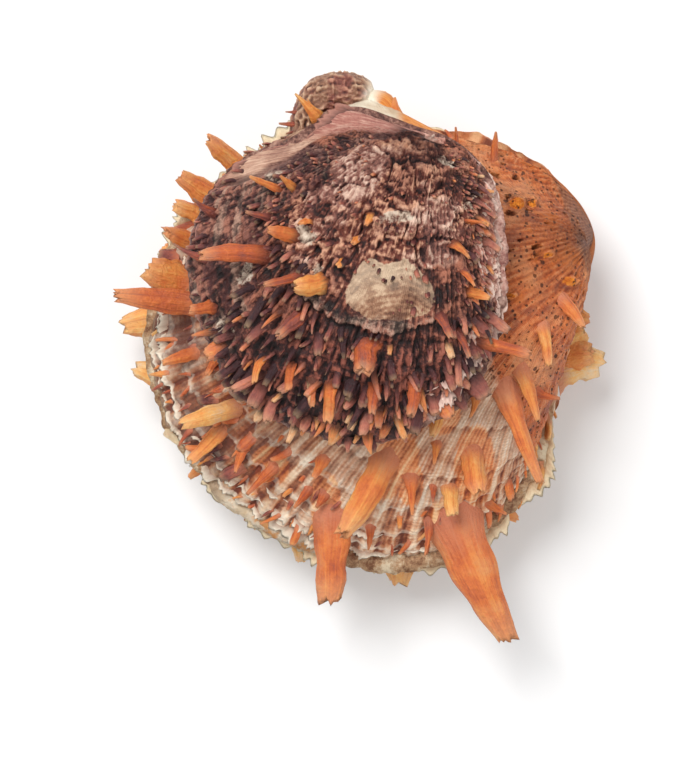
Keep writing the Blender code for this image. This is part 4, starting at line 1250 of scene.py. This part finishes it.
def small_lower_material():
    material, tree, shader = shell_material("brown_shell", BROWN_SHELL_ROUGHNESS)
    _, _, streak, patch, speck = textures(tree, (0.7, 0.7, 0.06))
    plate = field(tree, "plate")
    # The crest in signal darkens the hollows of the valve, beak and hinge edge, as painted shade
    signal = plus(tree, field(tree, "crest"), centred(tree, speck, 0.25))
    base = shades(tree, signal, (64, 36, 28), (140, 96, 72), (204, 168, 138))
    rosy = shades(tree, signal, (66, 28, 26), (124, 68, 56), (190, 132, 108))
    white = ramp(tree, patch, [(0.3, (204, 174, 138)), (0.65, (244, 236, 216))])
    orange = ramp(tree, streak, [(0.3, (196, 104, 34)), (0.7, (236, 158, 74))])
    mixed = plus(tree, times(tree, patch, 0.5), times(tree, speck, 0.5))
    pink = ramp(tree, mixed, [(0.4, (160, 100, 90)), (0.5, (210, 160, 144)), (0.6, (240, 208, 192))])
    dull = ramp(tree, mixed, [(0.42, (70, 38, 34)), (0.5, (118, 76, 64)), (0.6, (178, 136, 118))])
    color = layered(tree, base, [
        (rosy, remap(tree, patch, 0.5, 0.6), 1.0),
        (white, plate, 1.0),
        (orange, times(tree, plate, field(tree, "orange")), 1.0),
        ((24, 36, 24), field(tree, "ligament"), 1.0),
        (blend(tree, dull, pink, field(tree, "lilac")), field(tree, "inside"), 1.0),
    ])
    paint(tree, shader, color, plus(tree, streak, speck))
    return material


ORANGE_TINTS = [
    (0.0, (84, 40, 40)), (0.2, (146, 78, 66)), (0.35, (190, 92, 50)), (0.5, (218, 118, 58)),
    (0.65, (232, 148, 74)), (0.8, (242, 184, 106)), (1.0, (240, 220, 184)),
]
MAROON_TINTS = [
    (0.0, (52, 26, 30)), (0.2, (104, 54, 52)), (0.4, (160, 90, 76)), (0.55, (200, 124, 100)),
    (0.7, (216, 120, 68)), (0.85, (228, 148, 82)), (1.0, (232, 184, 140)),
]


def spine_material(name, tints, foot_color, foot_reach):
    """Spines coloured after their tint, and in the foot's colour as far up as foot_reach."""
    material, tree, shader = shell_material(name, SPINE_ROUGHNESS)
    _, _, streak, patch, speck = textures(tree, (1.5, 1.5, 0.10))
    crest, reach = field(tree, "crest"), field(tree, "reach")
    # crest here follows each spine's ridges: the tint is a little lighter on them and darker in the grooves,
    # as painted shade
    tint = total(
        tree, field(tree, "tint"), centred(tree, streak, 0.16), centred(tree, patch, 0.34),
        centred(tree, speck, 0.14), centred(tree, crest, 0.06),
    )
    near_foot = plus(tree, remap(tree, reach, foot_reach, 0.0), centred(tree, streak, 0.3))
    color = layered(tree, ramp(tree, tint, tints), [
        (foot_color, remap(tree, patch, 0.54, 0.68), 0.35),
        (foot_color, remap(tree, near_foot, 0.3, 0.8), 0.85),
        # Painted shade: rust-red laid in the grooves of each spine
        ((132, 56, 26), remap(tree, crest, 0.3, 0.05), 0.25),
        ((250, 206, 156), remap(tree, reach, 0.65, 1.0), 0.35),
    ])
    shader.inputs["Subsurface Weight"].default_value = SUBSURFACE_SHARE
    shader.inputs["Subsurface Radius"].default_value = SUBSURFACE_REACH
    paint(tree, shader, color, plus(tree, times(tree, streak, 0.6), times(tree, speck, 0.8)), SPINE_BUMP)
    return material


def frill_material(name, dark, light):
    """Frills that are darker by the shell and lighter at their torn edge."""
    material, tree, shader = shell_material(name, SPINE_ROUGHNESS)
    _, _, streak, _, speck = textures(tree, (0.9, 0.9, 0.3))
    signal = plus(tree, times(tree, field(tree, "reach"), 0.6), times(tree, streak, 0.5))
    color = ramp(tree, signal, [(0.15, dark), (0.75, light)])
    paint(tree, shader, color, plus(tree, streak, speck), FRILL_BUMP)
    return material


# Spines that can be told apart in the photograph: foot, tip, rise, width, bluntness, tint, curl
LARGE_UPPER_SPINES = [
    Spine(33.5, -43.5, 52.6, -86.2, -5, 18.0, 0.48, 0.50, 0.6),
    Spine(-7.3, -43.0, -6.7, -72.8, -4, 12.0, 0.88, 0.48, 0.6),
    Spine(13.2, -23.3, -2.2, -49.6, 6, 9.6, 0.80, 0.60),
    Spine(51.0, 0.0, 61.4, -33.0, 4, 8.5, 0.30, 0.52, 0.6),
    Spine(56.2, 5.0, 60.7, -13.1, 4, 5.8, 0.35, 0.60, 0.6),
    Spine(40.8, -22.0, 42.1, -36.2, 5, 8.5, 0.80, 0.60, 0.8),
    Spine(33.8, -35.0, 33.8, -43.9, 4, 6.0, 0.70, 0.72),
    Spine(20.3, -30.4, 20.3, -43.9, 6, 4.2, 0.15, 0.50),
    Spine(28.0, -34.2, 27.3, -40.0, 3, 2.8, 0.20, 0.35),
    Spine(6.8, -47.7, 6.2, -56.1, 3, 3.2, 0.20, 0.38),
    Spine(26.1, -46.0, 24.8, -58.0, 2, 3.2, 0.20, 0.36),
    Spine(63.0, 18.0, 64.3, 4.9, 3, 5.8, 0.50, 0.62, 0.7),
    Spine(69.0, 28.0, 75.8, 17.1, 2, 6.0, 0.45, 0.50, 0.7),
    Spine(60.5, -4.1, 68.4, -6.0, 2, 4.2, 0.25, 0.45),
    Spine(46.0, -41.0, 52.2, -44.5, 1, 4.0, 0.25, 0.45),
    Spine(35.7, 76.0, 35.0, 83.5, 5, 4.6, 0.10, 0.45, 0.4),
    Spine(48.8, 73.5, 48.5, 82.2, 5, 6.0, 0.10, 0.45, 0.4),
    Spine(29.3, -9.6, 26.6, -18.0, 3, 5.0, 0.55, 0.66, 0.6),
    Spine(28.5, -20.0, 27.3, -27.3, 3, 3.4, 0.20, 0.55),
    Spine(41.0, -4.8, 38.6, -12.1, 3, 3.4, 0.20, 0.58),
    Spine(-36.2, -9.2, -54.2, -14.3, 8, 6.4, 0.90, 0.74, 0.4),
    Spine(-41.3, -14.6, -52.3, -26.5, 3, 5.1, 0.80, 0.62),
    Spine(-34.3, -22.0, -37.5, -30.4, 4, 3.9, 0.30, 0.42),
    Spine(-24.0, -28.5, -33.6, -37.5, 4, 3.9, 0.35, 0.42, 0.6),
    Spine(-8.6, -24.6, -11.8, -31.7, 3, 4.5, 0.40, 0.48),
    Spine(-13.1, -36.2, -18.2, -41.9, 3, 3.6, 0.30, 0.45),
    Spine(-43.3, 7.5, -46.5, 1.7, 3, 3.9, 0.50, 0.45),
    Spine(-50.3, 9.5, -61.2, 5.6, 4, 4.6, 0.60, 0.52),
    Spine(-46.4, 24.2, -75.8, 27.6, 8, 8.4, 0.75, 0.44, 0.6),
    Spine(-54.0, 33.0, -66.0, 36.6, 5, 12.0, 0.95, 0.60, 0.7),
    Spine(-52.0, 46.0, -60.5, 49.2, 6, 8.0, 0.80, 0.52, 0.7),
    Spine(-47.0, 55.5, -57.6, 58.2, 5, 9.0, 0.70, 0.62, 0.6),
    Spine(-42.6, 60.5, -55.6, 67.6, 6, 10.5, 0.60, 0.60, 0.6),
    Spine(-32.8, 68.5, -46.6, 79.6, 8, 8.6, 0.75, 0.60, 0.6),
    Spine(-24.3, 71.5, -29.8, 77.8, 6, 3.2, 0.20, 0.50),
]
LARGE_LOWER_SPINES = [
    Spine(-60.0, 20.3, -76.3, 18.6, -3, 11.0, 0.85, 0.70, 0.6),
    Spine(-60.5, 29.0, -67.5, 31.5, -3, 10.0, 0.90, 0.70, 0.6),
    Spine(-58.5, 42.5, -63.4, 43.8, -3, 9.0, 0.90, 0.66, 0.6),
    Spine(-61.2, 1.0, -72.5, 3.8, -4, 8.6, 0.90, 0.80, 0.6),
    Spine(-51.5, 54.0, -58.6, 59.2, -3, 7.0, 0.60, 0.55, 0.6),
    Spine(-48.5, -27.0, -54.5, -33.0, -3, 5.0, 0.40, 0.55, 0.6),
    Spine(-29.0, -44.0, -33.0, -50.0, -3, 5.0, 0.70, 0.78, 0.6),
    Spine(-17.0, -52.0, -16.8, -61.8, -5, 6.6, 0.60, 0.80, 0.6),
    Spine(16.0, -57.0, 17.0, -68.5, -4, 11.5, 0.90, 0.72, 0.6),
    Spine(50.0, -42.0, 57.0, -47.5, -3, 5.0, 0.60, 0.60, 0.6),
    Spine(63.0, 6.5, 85.0, 5.2, -4, 13.0, 0.90, 0.86, 0.4),
    Spine(64.0, 9.5, 81.5, 9.0, 0, 10.5, 0.95, 0.60, 0.4),
    Spine(66.0, 15.5, 79.5, 16.5, -2, 10.0, 0.85, 0.74),
    Spine(70.0, 23.0, 81.0, 21.0, -3, 9.5, 0.50, 0.66),
    Spine(71.0, 28.5, 78.5, 27.5, -1, 8.5, 0.70, 0.72),
    Spine(61.0, -9.0, 68.5, -11.5, -3, 7.0, 0.60, 0.90),
]
SMALL_UPPER_SPINES = [
    Spine(-24.4, 38.5, -46.2, 38.5, 8, 5.6, 0.85, 0.36),
    Spine(-16.6, 44.6, -25.1, 46.4, 6, 4.8, 0.60, 0.46),
    Spine(-7.5, 30.0, -16.6, 28.8, 6, 6.6, 0.85, 0.66, 0.4),
    Spine(-13.6, 20.4, -22.0, 13.7, 5, 4.8, 0.75, 0.22, 0.6),
    Spine(-14.8, 32.5, -26.3, 29.4, 4, 3.2, 0.60, 0.26),
    Spine(4.0, 11.9, 4.0, 2.8, 7, 8.4, 0.75, 0.30, 0.9),
    Spine(40.5, 11.3, 56.6, 7.7, 4, 4.6, 0.70, 0.38, 0.6),
    Spine(36.7, 27.6, 43.3, 25.2, 5, 3.6, 0.60, 0.58),
    Spine(36.3, 49.4, 42.1, 48.2, 5, 3.4, 0.30, 0.46),
    Spine(32.4, 42.1, 36.7, 37.3, 5, 3.6, 0.30, 0.46),
    Spine(35.4, 33.7, 38.5, 28.8, 4, 3.2, 0.30, 0.48),
    Spine(34.2, 15.5, 37.3, 7.0, 5, 3.6, 0.50, 0.26),
    Spine(28.2, 20.4, 31.2, 13.1, 5, 3.4, 0.60, 0.22),
    Spine(22.1, -1.4, 19.1, -11.1, 6, 5.0, 0.80, 0.34, 0.7),
    Spine(8.8, -1.4, 7.0, -10.5, 6, 4.4, 0.60, 0.34, 0.6),
    Spine(-6.9, -1.4, -6.9, -12.9, 6, 4.4, 0.80, 0.48, 0.6),
    Spine(-28.1, 7.0, -29.9, -0.8, 5, 3.6, 0.70, 0.56),
    Spine(-18.8, 4.6, -19.2, -3.2, 6, 3.9, 0.80, 0.40),
    Spine(-21.4, 60.0, -31.1, 63.3, 6, 3.2, 0.30, 0.50),
    Spine(-17.2, 60.3, -21.4, 63.3, 5, 3.0, 0.30, 0.55),
    Spine(-43.2, 52.8, -49.5, 57.6, 4, 3.2, 0.20, 0.20),
    Spine(-45.0, 38.0, -55.9, 43.3, 2, 3.0, 0.20, 0.16),
    Spine(-43.0, 23.4, -50.5, 22.2, 4, 4.1, 0.80, 0.44),
    Spine(-24.4, 50.4, -32.3, 52.4, 4, 2.6, 0.40, 0.18),
    Spine(6.5, 50.5, 5.0, 47.5, 3, 2.6, 0.60, 0.60, 0.3),
    Spine(2.7, 44.5, 1.0, 42.0, 3, 3.0, 0.60, 0.62, 0.3),
    Spine(-1.5, 37.5, -3.8, 35.0, 3, 3.0, 0.60, 0.60, 0.3),
    Spine(-12.2, 49.5, -15.5, 48.2, 3, 2.8, 0.60, 0.56, 0.3),
]

# Rows of lesser spines: first, last, count, age, length, width, lean, tint, spread of tint
LARGE_UPPER_ROWS = [
    (0.40, 0.66, 34, 0.96, 5.0, 2.2, 0.25, 0.38, 0.18),
    (0.42, 0.66, 22, 0.90, 5.5, 2.4, 0.35, 0.36, 0.18),
    (0.45, 0.64, 14, 0.84, 5.0, 2.4, 0.40, 0.36, 0.14),
    (0.68, 0.84, 16, 0.95, 5.0, 2.4, 0.35, 0.46, 0.14),
    (0.68, 0.82, 9, 0.88, 5.0, 2.6, 0.40, 0.46, 0.14),
    (0.14, 0.38, 26, 0.965, 5.0, 2.6, 0.45, 0.46, 0.18),
]
SMALL_UPPER_ROWS = [
    (0.42, 0.72, 40, 0.97, 4.6, 3.6, 0.55, 0.58, 0.28),
    (0.40, 0.76, 44, 0.92, 5.6, 2.8, 0.60, 0.42, 0.30),
    (0.40, 0.78, 44, 0.87, 6.0, 2.5, 0.65, 0.34, 0.30),
    (0.40, 0.80, 42, 0.81, 5.6, 2.2, 0.65, 0.26, 0.28),
    (0.38, 0.80, 38, 0.75, 5.0, 2.0, 0.65, 0.24, 0.28),
    (0.30, 0.60, 26, 0.69, 4.4, 1.9, 0.60, 0.22, 0.24),
    (0.26, 0.48, 18, 0.62, 4.0, 1.8, 0.60, 0.22, 0.24),
    (0.70, 0.90, 24, 0.72, 4.0, 2.0, 0.60, 0.48, 0.24),
    (0.72, 0.90, 18, 0.60, 3.6, 1.9, 0.60, 0.36, 0.28),
    (0.74, 0.92, 14, 0.84, 2.8, 1.8, 0.60, 0.50, 0.28),
    (0.22, 0.40, 20, 0.94, 3.2, 1.4, 0.60, 0.22, 0.12),
]
SMALL_UPPER_SCALES = [
    (0.20, 0.92, 50, 0.30, 1.4, 1.0, 0.9, 0.36, 0.16),
    (0.20, 0.92, 60, 0.40, 1.6, 1.1, 0.9, 0.36, 0.16),
    (0.20, 0.92, 70, 0.50, 1.8, 1.2, 0.9, 0.34, 0.16),
    (0.24, 0.48, 40, 0.60, 1.8, 1.2, 0.9, 0.28, 0.16),
    (0.60, 0.92, 40, 0.60, 1.8, 1.2, 0.9, 0.34, 0.16),
]
LARGE_LOWER_ROWS = [
    (0.16, 0.86, 60, 0.95, 5.5, 5.0, 0.10, 0.80, 0.15),
    (0.18, 0.86, 44, 0.86, 6.0, 5.5, 0.30, 0.72, 0.18),
    (0.20, 0.84, 30, 0.76, 5.5, 5.5, 0.35, 0.66, 0.18),
]
SMALL_LOWER_ROWS = [
    (0.16, 0.90, 40, 0.90, 3.5, 2.4, 0.40, 0.24, 0.16),
    (0.16, 0.90, 26, 0.78, 3.0, 2.4, 0.45, 0.24, 0.16),
]

# Frills: first, last, age, length, lift, teeth
LARGE_UPPER_FRILLS = [
    (0.28, 0.70, 0.99, 5.0, 0.10, 84), (0.30, 0.69, 0.965, 3.4, 0.15, 70), (0.58, 0.68, 0.935, 2.4, 0.35, 18),
    (0.70, 0.88, 0.985, 3.4, 0.15, 34), (0.14, 0.28, 0.985, 3.4, 0.2, 26),
]
SMALL_UPPER_FRILLS = [
    (0.66, 0.76, 0.97, 3.6, 0.5, 14), (0.655, 0.75, 0.93, 3.4, 0.8, 13), (0.66, 0.74, 0.89, 3.2, 1.0, 11),
    (0.76, 0.95, 0.97, 2.0, 0.5, 24), (0.765, 0.885, 0.985, 5.4, 0.05, 10),
]
SMALL_UPPER_RUFFLES = [
    (0.03, 0.30, 0.975, 3.4, 0.10, 22), (0.70, 0.97, 0.985, 3.0, 0.05, 34), (0.72, 0.96, 0.94, 2.4, 0.3, 30),
]
SMALL_LOWER_FRILLS = [(0.58, 0.94, 0.985, 2.6, 0.05, 44), (0.60, 0.92, 0.93, 2.6, 0.1, 40)]
LARGE_LOWER_FRILLS = [
    (0.14, 0.88, 0.985, 4.0, 1.2, 90), (0.14, 0.88, 0.93, 4.2, 1.3, 80), (0.16, 0.86, 0.80, 3.8, 1.3, 64),
]


# The pieces


def dress(piece, material, node):
    piece.data.materials.append(material)
    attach(piece, "root")
    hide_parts(node)


def large_spines(name, valve, relief, spines, seed):
    return spine_piece(name, named_spines(valve, relief, spines, seed), *NAMED_SPINE_GRID)


def lesser_spines(name, valve, relief, rows, seed):
    return spine_piece(name, spine_rows(valve, relief, rows, seed), *LESSER_SPINE_GRID)


def scales(name, valve, relief, rows, seed):
    return spine_piece(name, spine_rows(valve, relief, rows, seed), *SCALE_GRID)


def add_growths(node, valve, relief, growths):
    """Dresses what grows on a valve: each growth is (its maker, name, table, seed, material)."""
    for make, name, table, seed, material in growths:
        dress(make(name, valve, relief, table, seed), material, node)


def build_large_upper(orange, white):
    node, slot = "large_upper_valve", "orange_shell"
    shell = shell_piece("large_upper_shell", LARGE_UPPER, large_upper_relief, large_upper_regions, bent)
    dress(shell, large_upper_material(), node)
    add_growths(node, LARGE_UPPER, large_upper_relief, [
        (large_spines, "large_upper_spines", LARGE_UPPER_SPINES, 100, orange),
        (lesser_spines, "large_upper_lesser_spines", LARGE_UPPER_ROWS, 7, orange),
        (frill_piece, "large_upper_frills", LARGE_UPPER_FRILLS, 400, white),
    ])


def build_large_lower(orange, cream):
    node, slot = "large_lower_valve", "cream_shell"
    shell = shell_piece("large_lower_shell", LARGE_LOWER, large_lower_relief, large_lower_regions)
    flat_scar(shell)
    dress(shell, large_lower_material(), node)
    add_growths(node, LARGE_LOWER, large_lower_relief, [
        (large_spines, "large_lower_spines", LARGE_LOWER_SPINES, 160, orange),
        (lesser_spines, "large_lower_lesser_spines", LARGE_LOWER_ROWS, 9, orange),
        (frill_piece, "large_lower_frills", LARGE_LOWER_FRILLS, 420, cream),
    ])


def build_small_upper(brick, maroon, lilac):
    node, slot = "small_upper_valve", "purple_shell"
    shell = shell_piece("small_upper_shell", SMALL_UPPER, small_upper_relief, small_upper_regions)
    dress(shell, small_upper_material(), node)
    rosy = frill_material("rosy_frills", (62, 29, 27), (172, 118, 102))
    add_growths(node, SMALL_UPPER, small_upper_relief, [
        (large_spines, "small_upper_spines", SMALL_UPPER_SPINES, 200, brick),
        (lesser_spines, "small_upper_lesser_spines", SMALL_UPPER_ROWS, 11, maroon),
        (scales, "small_upper_scales", SMALL_UPPER_SCALES, 8, maroon),
        (frill_piece, "small_upper_frills", SMALL_UPPER_FRILLS, 440, lilac),
        (frill_piece, "small_upper_ruffles", SMALL_UPPER_RUFFLES, 480, rosy),
    ])


def build_small_lower(brick, maroon, lilac):
    node, slot = "small_lower_valve", "brown_shell"
    brown = small_lower_material()
    shell = shell_piece("small_lower_shell", SMALL_LOWER, small_lower_relief, small_lower_regions)
    beak = tube_piece("small_lower_beak", HOOK_PATH, HOOK_RADII, *BEAK_GRID, hook_relief)
    edge = tube_piece("small_lower_hinge_edge", CHEEK_PATH, CHEEK_RADII, *HINGE_EDGE_GRID, cheek_relief)
    for piece in (shell, beak, edge, hinge_plate()):
        dress(piece, brown, node)
    add_growths(node, SMALL_LOWER, small_lower_relief, [
        (lesser_spines, "small_lower_lesser_spines", SMALL_LOWER_ROWS, 13, maroon),
        (frill_piece, "small_lower_frills", SMALL_LOWER_FRILLS, 460, lilac),
    ])
    found = [
        (foot, tip, UP, wide, blunt, 0.5, tint, 300 + i)
        for i, (foot, tip, wide, blunt, tint) in enumerate(BEAK_SPINES)
    ]
    dress(spine_piece("small_lower_beak_spines", found, *BEAK_SPINE_GRID), brick, node)


# The studio, in metres

FLOOR_HALF_WIDTH = 3.0
FLOOR_GREY = (0.86, 0.86, 0.86, 1.0)
FLOOR_ROUGHNESS = 0.9
WHITE = (1.0, 1.0, 1.0, 1.0)
SKY_STRENGTH = 0.6
LIGHTS_AIM = (0.0, 0.0, 0.05)
# Each light's name, place, size and power
LIGHTS = [("key", (-0.35, 0.5, 1.1), 0.6, 12.0), ("fill", (0.7, -0.5, 0.9), 0.8, 3.0)]


def build_stage():
    floor = bmesh.new()
    bmesh.ops.create_grid(floor, x_segments=1, y_segments=1, size=FLOOR_HALF_WIDTH)
    data = bpy.data.meshes.new("floor")
    floor.to_mesh(data)
    floor.free()
    floor_piece = bpy.data.objects.new("floor", data)
    bpy.context.scene.collection.objects.link(floor_piece)
    material = bpy.data.materials.new("floor")
    material.use_nodes = True
    shader = material.node_tree.nodes["Principled BSDF"]
    shader.inputs["Base Color"].default_value = FLOOR_GREY
    shader.inputs["Roughness"].default_value = FLOOR_ROUGHNESS
    data.materials.append(material)


def add_light(name, place, size, power):
    data = bpy.data.lights.new(name, "AREA")
    data.shape = "DISK"
    data.size = size
    data.energy = power
    lamp = bpy.data.objects.new(name, data)
    lamp.location = place
    lamp.rotation_euler = (Vector(LIGHTS_AIM) - Vector(place)).to_track_quat("-Z", "Y").to_euler()
    bpy.context.scene.collection.objects.link(lamp)


def build_lights():
    scene = bpy.context.scene
    world = bpy.data.worlds.new("studio")
    world.use_nodes = True
    sky = world.node_tree.nodes["Background"]
    sky.inputs["Color"].default_value = WHITE
    sky.inputs["Strength"].default_value = SKY_STRENGTH
    scene.world = world
    for light in LIGHTS:
        add_light(*light)
    scene.view_settings.view_transform = "Standard"


def build_camera():
    data = bpy.data.cameras.new("camera")
    data.sensor_width = SENSOR
    data.lens = SENSOR * PIXEL_DEPTH / (PIXEL_SIZE * FRAME_SIDE)
    data.clip_end = 10.0
    camera = bpy.data.objects.new("camera", data)
    camera.location = Vector((SETTLE[0], SETTLE[1], CAMERA_HEIGHT)) * MM
    bpy.context.scene.collection.objects.link(camera)
    bpy.context.scene.camera = camera


orange_spines = spine_material("orange_spines", ORANGE_TINTS, (196, 122, 92), 0.5)
brick_spines = spine_material("brick_spines", ORANGE_TINTS, (92, 44, 38), 0.4)
maroon_spines = spine_material("maroon_spines", MAROON_TINTS, (48, 22, 26), 0.8)
build_camera()
build_stage()
build_lights()
build_large_upper(orange_spines, frill_material("white_frills", (168, 118, 92), (236, 222, 200)))
build_large_lower(orange_spines, frill_material("cream_frills", (182, 116, 62), (236, 216, 180)))
lilac_frills = frill_material("lilac_frills", (146, 90, 82), (228, 196, 180))
build_small_upper(brick_spines, maroon_spines, lilac_frills)
build_small_lower(brick_spines, maroon_spines, lilac_frills)
